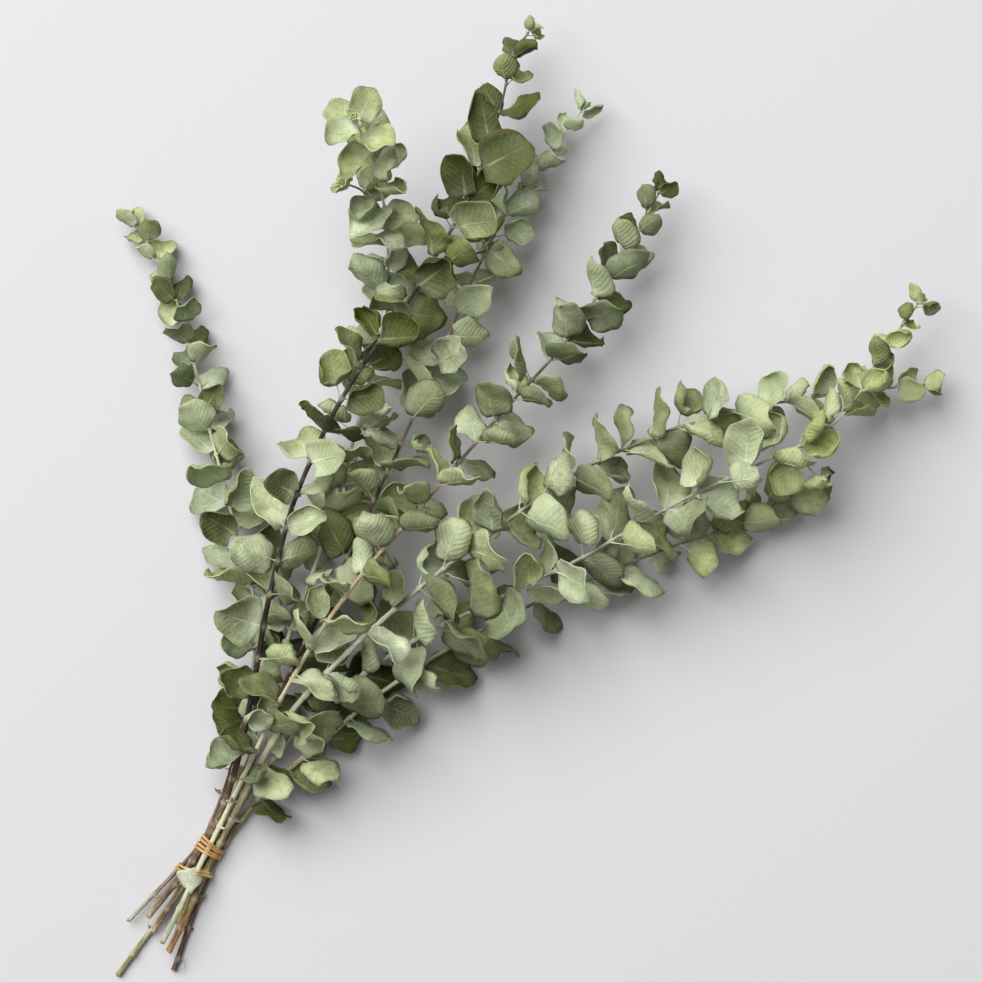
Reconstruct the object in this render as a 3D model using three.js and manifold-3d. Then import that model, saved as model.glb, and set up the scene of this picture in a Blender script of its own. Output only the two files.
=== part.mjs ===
// A bunch of dried eucalyptus: eight leafy stems, held near their cut ends by one elastic band wound round
// them, lying on a flat surface. Each leafy stem is one solid: its shoot, any side twigs, and the leaves
// that grow on them in crossed pairs.
//
// Millimetres, +Z up. The origin is the middle of the band's flat underside, where the bunch rests.
// The surface is z = 0, and the bunch spreads from the origin towards +X and +Y.
import * as THREE from "three";
import { mergeVertices } from "three/addons/utils/BufferGeometryUtils.js";
import Module from "manifold-3d";

const wasm = await Module();
wasm.setup();

const { cos, sin, sqrt, max, min, floor, round, PI } = Math;
const DEGREE = PI / 180;
const UP = new THREE.Vector3(0, 0, 1);

// The bundle at the band: its direction in plan, from the cut ends to the foliage.
const BUNDLE_ANGLE = 60;
const BUNDLE = new THREE.Vector3(cos(BUNDLE_ANGLE * DEGREE), sin(BUNDLE_ANGLE * DEGREE), 0);
const ACROSS = new THREE.Vector3().crossVectors(BUNDLE, UP);

// The elastic band.
const BAND_COLOUR = 0xc29a5c;
const BAND_WIDTH = 2.2;
const BAND_THICKNESS = 1.15;
const BAND_GAP = 0.4;
const BAND_STEPS = 22;
// How far each turn starts and ends from straight down, where the two ends meet in a flat underside.
const BAND_SEAM = 1e-4;
// Each turn's place along the bundle, over the top and underneath. The last one runs well down over the top.
const BAND_TURNS = [
  { over: 3.3, under: -1.0 },
  { over: -0.8, under: 1.0 },
  { over: -12.5, under: 0.2 },
];

// Shoots: tubes with a close pair of rings at each pair of leaves, which grow from opposite sides of them.
const SIDES = 6;
const TIP_LENGTH = 2;
const BASE_LENGTH = 0.9;
// Where the bare foot has its rings, along the shoot from the band.
const FOOT_RINGS = [-30, -14, -5, 3, 12, 26, 44];

// Leaves. Each pair stands crosswise to the one below, and the spreads are how far chance moves a leaf.
const LEAF_COLOUR = 0x707a4c;
const BLADE_THICKNESS = 0.7;
const BLADE_GAP = 0.4;
const OWN_GAP = 3.2;
const SURFACE = 0;
const TRIES = 18;
const SHRINK_AFTER = 6;
const SHRINK = 0.95;
const PAIR_TURN = 90;
const TURN_SPREAD = 14;
const SIDE_SPREAD = 10;
const LEAN_SPREAD = 18;
const ROLL_SPREAD = 22;
const WAVES = 1.4;
// Where the outline has its corners, as shares of the length, on a leaf under and over BIG_LEAF long.
const BIG_LEAF = 25;
const SMALL_OUTLINE = [0.18, 0.7];
const BIG_OUTLINE = [0.1, 0.45, 0.83];
const MIDDLE = 0.42;
// What chance decides on a leaf, each by its number in this list, and what it decides on a pair.
const TRAITS = [
  "turn", "lean", "facing", "side_up", "roll", "length", "stalk", "cup_way",
  "width", "egg", "cup", "fold", "bend", "twist", "wave", "phase",
];
const PAIR_TRAIT = 20;

// One entry for each leafy stem. cut is the cut end, tie its place in the bundle at the band (across, up),
// route the rest of its line to the tip, thick and fine its radius at the band and at the tip.
// bare is the length from the cut end to the first leaves; pitch and leaf run evenly from there to the tip.
// lean is how far the leaves lean to the tip, in degrees, at the first pair and at the last. turn is the
// first pair's direction round the shoot, and facing how far the blades lie flat, from 0 to 1.
const STEMS = [
  {
    name: "leafy_stem_1",
    cut: [-45, -39, 6],
    tie: [-6, 2.85],
    thick: 1.3,
    fine: 0.6,
    route: [
      [1.2, 15, 4.6], [9.5, 36, 8], [20.5, 79, 15], [27, 130, 19], [15, 180, 20], [2, 230, 20],
      [-10, 280, 16.9], [-24, 320, 13.1], [-41, 347, 12],
    ],
    bare: 104,
    pitch: [17, 17, 16, 14, 12, 12, 11],
    leaf: [20, 21, 23, 29, 27, 19, 18, 17, 12],
    lean: [20, 50],
    turn: 135,
    seed: 1,
    facing: 0.6,
  },
  {
    name: "leafy_stem_2",
    cut: [-51, -70, 2.3],
    tie: [-2.4, 3.25],
    thick: 1.7,
    fine: 0.6,
    route: [
      [14.3, 35, 6.3], [33, 87, 13], [62, 165, 22], [83, 235, 28], [98, 293, 36], [100, 335, 48],
      [97, 362, 66], [91, 382, 88], [85, 394, 110],
    ],
    bare: 148,
    pitch: [17, 17, 16, 14, 12, 11, 10],
    leaf: [22, 27, 28, 28, 26, 25, 25, 27, 25, 20],
    lean: [20, 14],
    turn: 30,
    seed: 5,
    facing: 0.45,
    twig: {
      route: [[100, 335, 48], [96, 351, 58], [86, 361, 66], [78, 364, 70]],
      thick: 0.8,
      fine: 0.6,
      bare: 14,
      pitch: [8],
      leaf: [18, 16],
      lean: [30, 40],
      turn: 60,
      seed: 60,
      facing: 0.5,
    },
  },
  {
    name: "leafy_stem_3",
    cut: [-33, -36, 12],
    tie: [-4.4, 6.9],
    thick: 2.1,
    fine: 0.6,
    route: [
      [11.6, 34, 14.5], [24.5, 82, 31], [34, 135, 43], [51, 197, 49], [78, 254, 53], [113, 304, 51],
      [145, 362, 45], [162, 410, 38], [169, 438, 35], [177, 450, 34],
    ],
    bare: 92,
    pitch: [18, 18, 19, 19, 18, 17, 14],
    leaf: [20, 26, 28, 27, 26, 27, 29, 33, 25, 11],
    lean: [20, 48],
    turn: 45,
    seed: 53,
    facing: 0.7,
    twig: {
      route: [[113, 304, 51], [126, 317, 47], [141, 326, 44], [156, 331, 42]],
      thick: 0.8,
      fine: 0.6,
      bare: 26,
      pitch: [13],
      leaf: [22, 20],
      lean: [25, 40],
      turn: 0,
      seed: 9,
      facing: 0.7,
    },
  },
  {
    name: "leafy_stem_4",
    cut: [-31, -45, 7.5],
    tie: [-0.5, 6.5],
    thick: 1.5,
    fine: 0.6,
    route: [
      [18, 34, 9.6], [38, 82, 22], [76, 160, 32], [104, 218, 35], [127, 270, 33], [147, 317, 29],
      [170, 360, 25], [190, 388, 22], [206, 409, 21],
    ],
    bare: 98,
    pitch: [17, 17, 17, 16, 15, 14, 12],
    leaf: [22, 27, 28, 28, 27, 25, 22, 18, 13],
    lean: [20, 50],
    turn: 120,
    seed: 40,
    facing: 0.5,
  },
  {
    name: "leafy_stem_5",
    cut: [-25, -50, 17],
    tie: [-0.4, 9.9],
    thick: 1.6,
    fine: 0.6,
    route: [
      [16.6, 35, 19], [43, 88, 38], [80, 146, 52], [124, 197, 52], [164, 244, 46], [201, 286, 39],
      [231, 333, 33], [249, 364, 31],
    ],
    bare: 104,
    pitch: [17, 17, 16, 15, 14, 13],
    leaf: [24, 27, 27, 26, 25, 23, 23, 24, 21, 12],
    lean: [20, 50],
    turn: 45,
    seed: 72,
    facing: 0.4,
  },
  {
    name: "leafy_stem_6",
    cut: [-18, -41, 3],
    tie: [1.4, 3.15],
    thick: 1.6,
    fine: 0.6,
    route: [
      [23, 33, 6.8], [52, 70, 16], [106, 112, 26], [151, 136, 33], [210, 165, 40], [260, 194, 44],
      [304, 215, 46], [334, 229, 46], [354, 248, 44], [368, 272, 40], [389, 301, 36],
    ],
    bare: 92,
    pitch: [17, 17, 17, 17, 16, 15, 12],
    leaf: [23, 28, 30, 30, 29, 28, 27, 28, 20, 13],
    lean: [20, 50],
    turn: 45,
    seed: 26,
    facing: 0.45,
    twig: {
      route: [[319, 222, 46], [326, 215, 45], [332, 209, 43], [335, 205, 42]],
      thick: 0.8,
      fine: 0.6,
      bare: 9,
      pitch: [10],
      leaf: [24, 22],
      lean: [10, 30],
      turn: 120,
      seed: 69,
      facing: 0.7,
    },
  },
  {
    name: "leafy_stem_7",
    cut: [-22, -56, 9],
    tie: [3.5, 7.0],
    thick: 2.1,
    fine: 0.6,
    route: [
      [22, 35, 15], [46, 77, 30], [92, 124, 43], [153, 174, 47], [216, 216, 42], [282, 241, 34],
      [332, 250, 27], [375, 256, 21], [396, 258, 19],
    ],
    bare: 98,
    pitch: [17, 17, 17, 16, 15, 15],
    leaf: [24, 29, 31, 31, 29, 27, 26, 25, 21, 12],
    lean: [20, 50],
    turn: 135,
    seed: 79,
    facing: 0.4,
  },
  {
    name: "leafy_stem_8",
    cut: [-20, -67, 2.4],
    tie: [5.2, 3.25],
    thick: 1.7,
    fine: 0.6,
    route: [
      [29, 30.5, 7.4], [58, 56, 13], [98, 90, 19], [150, 122, 21], [197, 145, 21], [249, 166, 19.1],
      [290, 180, 21], [322, 200, 23.5],
    ],
    bare: 108,
    pitch: [17, 17, 17, 17, 16],
    leaf: [25, 30, 30, 29, 27, 25, 25, 22],
    lean: [20, 45],
    turn: 45,
    seed: 43,
    facing: 0.55,
  },
];

// A value from a list whose entries lie evenly spread from 0 to 1.
function between(list, share) {
  const place = min(max(share, 0), 1) * (list.length - 1);
  const low = min(floor(place), max(list.length - 2, 0));
  const high = min(low + 1, list.length - 1);
  return list[low] + (list[high] - list[low]) * (place - low);
}

// A number from 0 to 1 that looks random and depends only on the whole numbers given.
function draw(...keys) {
  const spread = [12.9898, 78.233, 37.719, 93.989, 54.117];
  const x = sin(keys.reduce((sum, key, i) => sum + (key + 1) * spread[i], 0)) * 43758.5453;
  return x - floor(x);
}

// A line through points, with the places along it by length.
class Line {
  constructor(points) {
    this.curve = new THREE.CatmullRomCurve3(points);
    this.length = this.curve.getLength();
  }
  // The point at a length from the start, with the direction there and two more at right angles to it.
  at(length) {
    const share = min(max(length / this.length, 0), 1);
    const forward = this.curve.getTangentAt(share);
    const lift = UP.clone().addScaledVector(forward, -forward.z).normalize();
    const aside = new THREE.Vector3().crossVectors(forward, lift);
    return { point: this.curve.getPointAt(share), forward, lift, aside };
  }
}

// How far along a line it passes a place along the bundle.
function crossing(line, place) {
  let low = 0;
  let high = 150;
  while (high - low > 1e-4) {
    const middle = (low + high) / 2;
    if (line.at(middle).point.dot(BUNDLE) < place) low = middle;
    else high = middle;
  }
  return low;
}

function shootLine(shoot) {
  const points = shoot.route.map((p) => new THREE.Vector3(...p));
  if (shoot.cut) {
    const [across, up] = shoot.tie;
    points.unshift(new THREE.Vector3(...shoot.cut), ACROSS.clone().multiplyScalar(across).setZ(up));
  }
  return new Line(points);
}

// A closed geometry as a solid.
function solidOf(geometry) {
  const merged = mergeVertices(geometry, 1e-4);
  return new wasm.Manifold(
    new wasm.Mesh({
      numProp: 3,
      vertProperties: new Float32Array(merged.attributes.position.array),
      triVerts: new Uint32Array(merged.index.array),
    }),
  );
}

function geometryOf(points, triangles) {
  const geometry = new THREE.BufferGeometry().setFromPoints(points);
  geometry.setIndex(triangles.flat());
  return geometry;
}

// A loop of rings of points as a solid, each ring joined to the next and the last to the first.
function loopSolid(rings) {
  const n = rings[0].length;
  const triangles = [];
  rings.forEach((_, r) => {
    const a = r * n;
    const b = ((r + 1) % rings.length) * n;
    for (let i = 0; i < n; i++) {
      const j = (i + 1) % n;
      triangles.push([a + i, a + j, b + j], [a + i, b + j, b + i]);
    }
  });
  return solidOf(geometryOf(rings.flat(), triangles));
}

// The radius of a shoot at a length from its start: even in the bundle, then finer to the tip.
function shootRadius(shoot, length, whole) {
  const start = shoot.cut ? new THREE.Vector3(...shoot.cut).length() : 0;
  const share = max(length - start, 0) / (whole - start);
  return shoot.fine + (shoot.thick - shoot.fine) * (1 - share) ** 0.9;
}

// A ring of points round a shoot, the middle of side 0 facing the angle given.
function ringAt(line, length, radius, facing) {
  const { point, lift, aside } = line.at(length);
  return Array.from({ length: SIDES }, (_, i) => {
    const angle = facing * DEGREE + ((i - 0.5) * 2 * PI) / SIDES;
    return point
      .clone()
      .addScaledVector(lift, radius * cos(angle))
      .addScaledVector(aside, radius * sin(angle));
  });
}

// The lengths along a shoot at which its leaf pairs stand, the last one just short of the tip.
function pairStops(shoot, line) {
  const stops = [];
  const leafy = line.length - TIP_LENGTH - shoot.bare;
  for (let at = 0; at < leafy; at += between(shoot.pitch, at / leafy)) stops.push(at);
  return stops.map((at) => shoot.bare + (at * leafy) / stops.at(-1));
}

// The way a pair of leaves faces round its shoot, in degrees.
function pairTurn(shoot, pair) {
  return shoot.turn + PAIR_TURN * pair + TURN_SPREAD * (2 * draw(shoot.seed, pair, 0, PAIR_TRAIT, 0) - 1);
}

// A leaf as the numbers that shape and place it. side is 0 or 1 in the pair, and each try turns and curls the
// leaf another way. along runs from its base to its tip, face is its upper side, and wide runs across it.
function leafOf({ shoot, line, pairs }, pair, side, attempt) {
  const pick = (trait) => draw(shoot.seed, pair, side, TRAITS.indexOf(trait), attempt);
  const swing = (trait) => 2 * pick(trait) - 1;
  const stop = pairs[pair];
  const share = (stop - shoot.bare) / (line.length - shoot.bare);
  const { point, forward, lift, aside } = line.at(stop);

  const effort = 1 + attempt / TRIES;
  const turn = (pairTurn(shoot, pair) + 180 * side + SIDE_SPREAD * effort * swing("turn")) * DEGREE;
  const [lowLean, tipLean] = shoot.lean;
  const lean = (lowLean + (tipLean - lowLean) * share ** 2 + LEAN_SPREAD * effort * swing("lean")) * DEGREE;
  const outward = lift.clone().multiplyScalar(cos(turn)).addScaledVector(aside, sin(turn));
  const along = outward.clone().multiplyScalar(cos(lean)).addScaledVector(forward, sin(lean));

  // The upper side faces the shoot's tip, and is turned part of the way to lie flat.
  const natural = outward.clone().multiplyScalar(-sin(lean)).addScaledVector(forward, cos(lean));
  const flat = UP.clone().addScaledVector(along, -along.z);
  const facing = shoot.facing * (0.4 + 1.2 * pick("facing"));
  const faceUp = natural.z + 0.8 * swing("side_up") >= 0 ? 1 : -1;
  const face = natural.multiplyScalar(1 - min(facing, 0.95)).addScaledVector(flat, facing * faceUp);
  face.addScaledVector(along, -face.dot(along)).normalize();
  face.applyAxisAngle(along, ROLL_SPREAD * DEGREE * swing("roll"));

  const shrink = SHRINK ** max(attempt - SHRINK_AFTER, 0);
  const length = between(shoot.leaf, share) * (0.9 + 0.2 * pick("length")) * shrink;
  const radius = shootRadius(shoot, stop, line.length);
  return {
    root: point.clone().addScaledVector(outward, cos(PI / SIDES) * radius),
    stop,
    along,
    face,
    wide: new THREE.Vector3().crossVectors(face, along),
    stalk: 0.6 + 0.9 * pick("stalk"),
    length,
    half: 0.5 * length * (0.8 + 0.28 * pick("width")),
    egg: -0.05 + 0.35 * pick("egg"),
    cup: pick("cup_way") < 0.62 ? 0.15 + 0.75 * pick("cup") : -0.25 - 0.8 * pick("cup"),
    fold: 0.02 + 0.3 * pick("fold") ** 2,
    bend: -0.75 + 1.3 * pick("bend"),
    twist: 0.5 * swing("twist"),
    wave: length * (0.015 + 0.045 * pick("wave")),
    phase: pick("phase"),
  };
}

// Half the blade's width at a share of its length.
function halfWidth(leaf, t) {
  return leaf.half * sqrt(max(4 * t * (1 - t), 0)) * (1 + leaf.egg * (1 - 2 * t));
}

// A point of the blade's middle surface, t of the way from its base to its tip and y from its midrib. The
// blade is cupped, folded and waved across, bent along, and twisted.
function bladePoint(leaf, t, y) {
  const q = y / leaf.half;
  const cupped = leaf.cup * q;
  const bent = leaf.bend * t;
  const twisted = leaf.twist * (t - 0.3);
  const wave = leaf.wave * q * q * sin(2 * PI * (WAVES * t + leaf.phase + (q < 0 ? 0.37 : 0)));
  const fold = leaf.fold * leaf.half * (sqrt(q * q + 0.01) - 0.1);
  const across = (leaf.half * sin(cupped)) / leaf.cup;
  const height = (leaf.half * (1 - cos(cupped))) / leaf.cup + fold + wave;
  const sideways = across * cos(twisted) - height * sin(twisted);
  const raised = across * sin(twisted) + height * cos(twisted);
  const reach = (leaf.length * sin(bent)) / leaf.bend - raised * sin(bent);
  const rise = (leaf.length * (1 - cos(bent))) / leaf.bend + raised * cos(bent);
  return leaf.root
    .clone()
    .addScaledVector(leaf.along, leaf.stalk + reach)
    .addScaledVector(leaf.wide, sideways)
    .addScaledVector(leaf.face, rise);
}

function bladeNormal(leaf, t, y) {
  const step = 0.01;
  const du = bladePoint(leaf, t + step, y).sub(bladePoint(leaf, t - step, y));
  const dv = bladePoint(leaf, t, y + step).sub(bladePoint(leaf, t, y - step));
  return du.cross(dv).normalize();
}

// The corners of both faces of a blade: its outline from one side of its base round the tip to the other,
// then one on the midrib.
function bladeFaces(leaf) {
  const outline = leaf.length < BIG_LEAF ? SMALL_OUTLINE : BIG_OUTLINE;
  const places = [
    ...outline.map((t) => [t, halfWidth(leaf, t)]),
    [1, 0],
    ...outline.toReversed().map((t) => [t, -halfWidth(leaf, t)]),
    [MIDDLE, 0],
  ];
  return [1, -1].map((side) =>
    places.map(([t, y]) =>
      bladePoint(leaf, t, y).addScaledVector(bladeNormal(leaf, t, y), (side * BLADE_THICKNESS) / 2),
    ),
  );
}

// Turns the four corners of a base, anticlockwise from outside, so that they meet those of a blade's foot.
function fitBase(base, foot, points) {
  const middle = foot.reduce((sum, corner) => sum.add(corner), new THREE.Vector3()).divideScalar(4);
  const turned = (turn) => foot.map((_, i) => base[(i + turn) % 4]);
  const fit = (turn) =>
    turned(turn).reduce((sum, number, i) => sum + points[number].dot(foot[i].clone().sub(middle)), 0);
  return turned([0, 1, 2, 3].reduce((best, turn) => (fit(turn) > fit(best) ? turn : best)));
}

// The blade's surface, open at its base, whose corners are numbers in points. It adds its own corners there.
// Both faces are split alike, with a rim between.
function growBlade(points, triangles, base, [top, bottom]) {
  const foot = [bottom[0], top[0], top.at(-2), bottom.at(-2)];
  const [rightUnder, rightOver, leftOver, leftUnder] = fitBase(base, foot, points);
  const add = (point) => points.push(point) - 1;
  const over = [rightOver, ...top.slice(0, -1).map(add), leftOver];
  const under = [rightUnder, ...bottom.slice(0, -1).map(add), leftUnder];
  const overMiddle = add(top.at(-1));
  const underMiddle = add(bottom.at(-1));
  for (let i = 0; i < over.length; i++) {
    const j = (i + 1) % over.length;
    triangles.push([overMiddle, over[j], over[i]], [underMiddle, under[i], under[j]]);
    if (j > 0) triangles.push([over[i], over[j], under[j]], [over[i], under[j], under[i]]);
  }
}

// One leaf alone, closed at its base, to measure its distance from others.
function bladeSolid(base, faces) {
  const points = base.map((point) => point.clone());
  const triangles = [[0, 3, 2], [0, 2, 1]];
  growBlade(points, triangles, [0, 1, 2, 3], faces);
  return solidOf(geometryOf(points, triangles));
}

// The shoot's rings: plain ones along its bare foot, two close together at each pair of leaves, and the tip.
// They turn as little as they can, so that side is the number of the one which faces the pair's first leaf.
function shootRings({ shoot, line, pairs }) {
  const step = 360 / SIDES;
  let facing = pairTurn(shoot, 0);
  const foot = shoot.cut ? FOOT_RINGS.map((place) => crossing(line, 0) + place) : [];
  const rings = [0, ...foot.filter((stop) => stop < shoot.bare - 5)].map((stop) => ({ stop, facing }));
  pairs.forEach((stop, pair) => {
    const wanted = pairTurn(shoot, pair);
    const turns = round((wanted - facing) / step);
    facing = wanted - step * turns;
    const side = ((turns % SIDES) + SIDES) % SIDES;
    rings.push({ stop: stop - BASE_LENGTH / 2, facing, pair, side });
    rings.push({ stop: stop + BASE_LENGTH / 2, facing });
  });
  rings.push({ stop: line.length, facing });
  return rings.map((ring) => ({
    ...ring,
    points: ringAt(line, ring.stop, shootRadius(shoot, ring.stop, line.length), ring.facing),
  }));
}

// The four corners that a leaf grows from, on one of two opposite sides of its shoot.
function leafBase(rings, pair, side) {
  const low = rings.findIndex((ring) => ring.pair === pair);
  const i = (rings[low].side + (side * SIDES) / 2) % SIDES;
  const j = (i + 1) % SIDES;
  return [[low, i], [low, j], [low + 1, j], [low + 1, i]];
}

// A shoot with its leaves as one surface.
function shootSolid({ rings, leaves }) {
  const points = rings.flatMap((ring) => ring.points);
  const numberOf = ([ring, corner]) => ring * SIDES + corner;
  const grown = new Map(leaves.map((leaf) => [numberOf(leaf.base[0]), leaf]));
  const triangles = [];
  for (let ring = 0; ring < rings.length - 1; ring++)
    for (let i = 0; i < SIDES; i++) {
      const j = (i + 1) % SIDES;
      const [a, b, c, d] = [[ring, i], [ring, j], [ring + 1, j], [ring + 1, i]].map(numberOf);
      if (grown.has(a)) growBlade(points, triangles, [a, b, c, d], grown.get(a).faces);
      else triangles.push([a, b, c], [a, c, d]);
    }
  const last = (rings.length - 1) * SIDES;
  for (let i = 1; i < SIDES - 1; i++) triangles.push([0, i + 1, i], [last, last + i, last + i + 1]);
  return solidOf(geometryOf(points, triangles));
}

// Where the shoots cross the bundle at a place along it: across, up and radius.
function bundleAt(place) {
  return shoots
    .filter(({ shoot }) => shoot.tie)
    .map(({ shoot, line }) => {
      const stop = crossing(line, place);
      const { point, forward } = line.at(stop);
      return {
        across: point.dot(ACROSS),
        up: point.z,
        radius: shootRadius(shoot, stop, line.length) / forward.dot(BUNDLE),
      };
    });
}

// One turn of the band: a flat strand drawn tight round the shoots. Its underside, where the bunch rests on
// it, is flat.
function bandTurn({ over, under }) {
  const rings = [];
  for (let k = 0; k <= BAND_STEPS; k++) {
    const angle = -PI / 2 + BAND_SEAM + (k / BAND_STEPS) * (2 * PI - 2 * BAND_SEAM);
    const [x, z] = [cos(angle), sin(angle)];
    const place = under + (over - under) * 0.5 * (1 - cos(angle + PI / 2));
    const reach = (shoot) => shoot.across * x + shoot.up * z + shoot.radius;
    const outer = bundleAt(place).reduce((a, b) => (reach(b) > reach(a) ? b : a));
    const flat = k === 0 || k === BAND_STEPS;
    const corner = (out, along) => {
      const r = outer.radius + BAND_GAP + out;
      return ACROSS.clone()
        .multiplyScalar(outer.across + r * x)
        .addScaledVector(BUNDLE, place + along)
        .setZ(flat ? BAND_THICKNESS - out : outer.up + r * z);
    };
    const w = BAND_WIDTH / 2;
    rings.push([corner(0, -w), corner(BAND_THICKNESS, -w), corner(BAND_THICKNESS, w), corner(0, w)]);
  }
  return loopSolid(rings);
}

function meshOf(name, solid, colour, roughness) {
  const made = solid.getMesh();
  const geometry = new THREE.BufferGeometry();
  geometry.setAttribute("position", new THREE.BufferAttribute(made.vertProperties, 3));
  geometry.setIndex(new THREE.BufferAttribute(made.triVerts, 1));
  geometry.computeVertexNormals();
  const material = new THREE.MeshStandardMaterial({ color: colour, roughness, metalness: 0 });
  const mesh = new THREE.Mesh(geometry, material);
  mesh.name = name;
  return mesh;
}

// Every shoot and twig, with its line, its pairs' places, its rings and its bare solid.
const shoots = [];
for (const stem of STEMS)
  for (const shoot of [stem, stem.twig].filter(Boolean)) {
    const line = shootLine(shoot);
    const pairs = pairStops(shoot, line);
    const rings = shootRings({ shoot, line, pairs });
    const bare = shootSolid({ rings, leaves: [] });
    shoots.push({ stem, shoot, line, pairs, rings, bare, leaves: [] });
  }
const band = wasm.Manifold.union(BAND_TURNS.map(bandTurn));

// A leaf has room if it stays off the surface and its own shoot, and clear of the other leaves and shoots and
// of the band. reach is the radius of the ball that holds the leaf.
const placed = [];
function isNear(a, b) {
  return a.minGap(b, BLADE_GAP) < BLADE_GAP;
}
function meetsOwnShoot(leaf, line) {
  const steps = Array.from({ length: 9 }, (_, i) => leaf.stop + ((i - 4) * leaf.length) / 4);
  return [0.5, 0.75, 1].some((t) => {
    const point = bladePoint(leaf, t, 0);
    return steps.some((stop) => line.at(stop).point.distanceTo(point) < OWN_GAP);
  });
}
function hasRoom({ leaf, blade, centre, reach }, owner) {
  if (blade.boundingBox().min[2] < SURFACE || meetsOwnShoot(leaf, owner.line)) return false;
  if (isNear(blade, band)) return false;
  if (shoots.some(({ stem, bare }) => stem !== owner.stem && isNear(blade, bare))) return false;
  const inReach = placed.filter((other) => centre.distanceTo(other.centre) < reach + other.reach);
  return !inReach.some((other) => isNear(blade, other.blade));
}

// Pair by pair from the foot up, each leaf takes the first of its tries that has room, or is left out.
function placeLeaf(owner, pair, side) {
  const base = leafBase(owner.rings, pair, side);
  const corners = base.map(([ring, corner]) => owner.rings[ring].points[corner]);
  for (let attempt = 0; attempt < TRIES; attempt++) {
    const leaf = leafOf(owner, pair, side, attempt);
    const faces = bladeFaces(leaf);
    const reach = 0.8 * leaf.length + leaf.stalk;
    const trial = { leaf, blade: bladeSolid(corners, faces), centre: bladePoint(leaf, 0.45, 0), reach };
    if (!hasRoom(trial, owner)) continue;
    owner.leaves.push({ base, faces });
    placed.push(trial);
    return;
  }
}
const mostPairs = max(...shoots.map(({ pairs }) => pairs.length));
for (let pair = 0; pair < mostPairs; pair++)
  for (const owner of shoots.filter(({ pairs }) => pair < pairs.length))
    for (const side of [0, 1]) placeLeaf(owner, pair, side);

const bunch = new THREE.Group();
for (const stem of STEMS) {
  const solids = shoots.filter((shoot) => shoot.stem === stem).map(shootSolid);
  bunch.add(meshOf(stem.name, wasm.Manifold.union(solids), LEAF_COLOUR, 0.75));
}
bunch.add(meshOf("elastic_band", band, BAND_COLOUR, 0.55));

export default bunch;
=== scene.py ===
"""A bunch of dried eucalyptus: eight long leafy shoots, tied near their cut ends with an elastic band.

The shoots and leaves grow by the same rules as the frame's solids, in millimetres, and are then made finer:
round shoots with knuckles, thin veined leaves with curled edges, and a band of flat strands.
"""

from dataclasses import dataclass, replace
from itertools import zip_longest
from math import ceil, cos, floor, pi, radians, sin

import bmesh
import bpy
import numpy as np
from bpy.props import FloatProperty, FloatVectorProperty, IntProperty, PointerProperty
from bpy.types import Operator, Panel, PropertyGroup
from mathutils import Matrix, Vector
from mathutils.kdtree import KDTree


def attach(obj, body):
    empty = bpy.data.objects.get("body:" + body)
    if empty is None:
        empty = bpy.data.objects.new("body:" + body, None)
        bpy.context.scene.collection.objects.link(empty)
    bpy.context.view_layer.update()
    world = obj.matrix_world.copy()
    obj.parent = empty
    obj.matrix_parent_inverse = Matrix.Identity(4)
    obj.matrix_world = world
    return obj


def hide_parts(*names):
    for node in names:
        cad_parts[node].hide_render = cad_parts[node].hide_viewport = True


bl_info = {
    "name": "Bunch of dried eucalyptus",
    "version": (1, 0, 0),
    "blender": (4, 5, 0),
    "location": "3D View > Sidebar > Eucalyptus",
    "description": "Makes a tied bunch of dried eucalyptus with round leaves in pairs",
    "category": "Object",
}

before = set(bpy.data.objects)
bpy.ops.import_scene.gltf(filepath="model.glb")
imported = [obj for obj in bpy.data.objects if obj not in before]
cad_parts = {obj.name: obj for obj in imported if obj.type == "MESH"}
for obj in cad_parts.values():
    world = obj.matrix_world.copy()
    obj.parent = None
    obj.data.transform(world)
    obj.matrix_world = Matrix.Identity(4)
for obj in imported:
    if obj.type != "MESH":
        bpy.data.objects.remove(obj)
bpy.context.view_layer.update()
BLACK = (0.0, 0.0, 0.0)
MM = 0.001
UP = np.array((0.0, 0.0, 1.0))

# The bundle at the band runs this way along the surface, and ACROSS is to its right.
BUNDLE_ANGLE = radians(60)
BUNDLE = np.array((cos(BUNDLE_ANGLE), sin(BUNDLE_ANGLE), 0.0))
ACROSS = np.cross(BUNDLE, UP)

# How leaves stand on a shoot, as on the frame's solids.
SIDES = 6
TIP_LENGTH = 2
TRIES = 18
SHRINK_AFTER = 6
SHRINK = 0.95
PAIR_TURN = 90
TURN_SPREAD = 14
SIDE_SPREAD = 10
LEAN_SPREAD = 18
ROLL_SPREAD = 22
WAVES = 1.4
SOLID_THICKNESS = 0.7
# A leaf is on the frame if the corner at its tip is this near.
MATCH = 0.05
TRAITS = (
    "turn", "lean", "facing", "side_up", "roll", "length", "stalk", "cup_way",
    "width", "egg", "cup", "fold", "bend", "twist", "wave", "phase",
)
PAIR_TRAIT = 20
# The share of the leaves that is cupped. The others bend their sides down.
CUPPED_SHARE = 0.62

# A round shoot that lies inside the six flats of the solid's is this share of its radius.
ROUND = 0.86
# What chance decides on the finish, numbered after those.
TONE_TRAIT, WARMTH_TRAIT, BLOOM_TRAIT, AGE_TRAIT, CURL_TRAIT = 30, 31, 32, 33, 34
KNUCKLE_TRAIT, STUB_TRAIT, STUB_LENGTH_TRAIT, CUT_TRAIT = 40, 41, 42, 50
BUD_LEAN_TRAIT, BUD_LENGTH_TRAIT = 60, 61
SCRAP_TRAIT, SCRAP_LEAN_TRAIT, SCRAP_LENGTH_TRAIT = 70, 71, 72

# Painted shade and light inside the bunch: leaves below this height are painted darker, by this much for each
# millimetre, as if in shade, and those above it are painted paler, as if lit, by no more than the last of
# these.
SHADED_HEIGHT, SHADE, MOST_LIGHT = 26, 0.028, 0.15
# No leaf stood nearer to the cut end than this.
FOOT_MARGIN = 6
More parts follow.
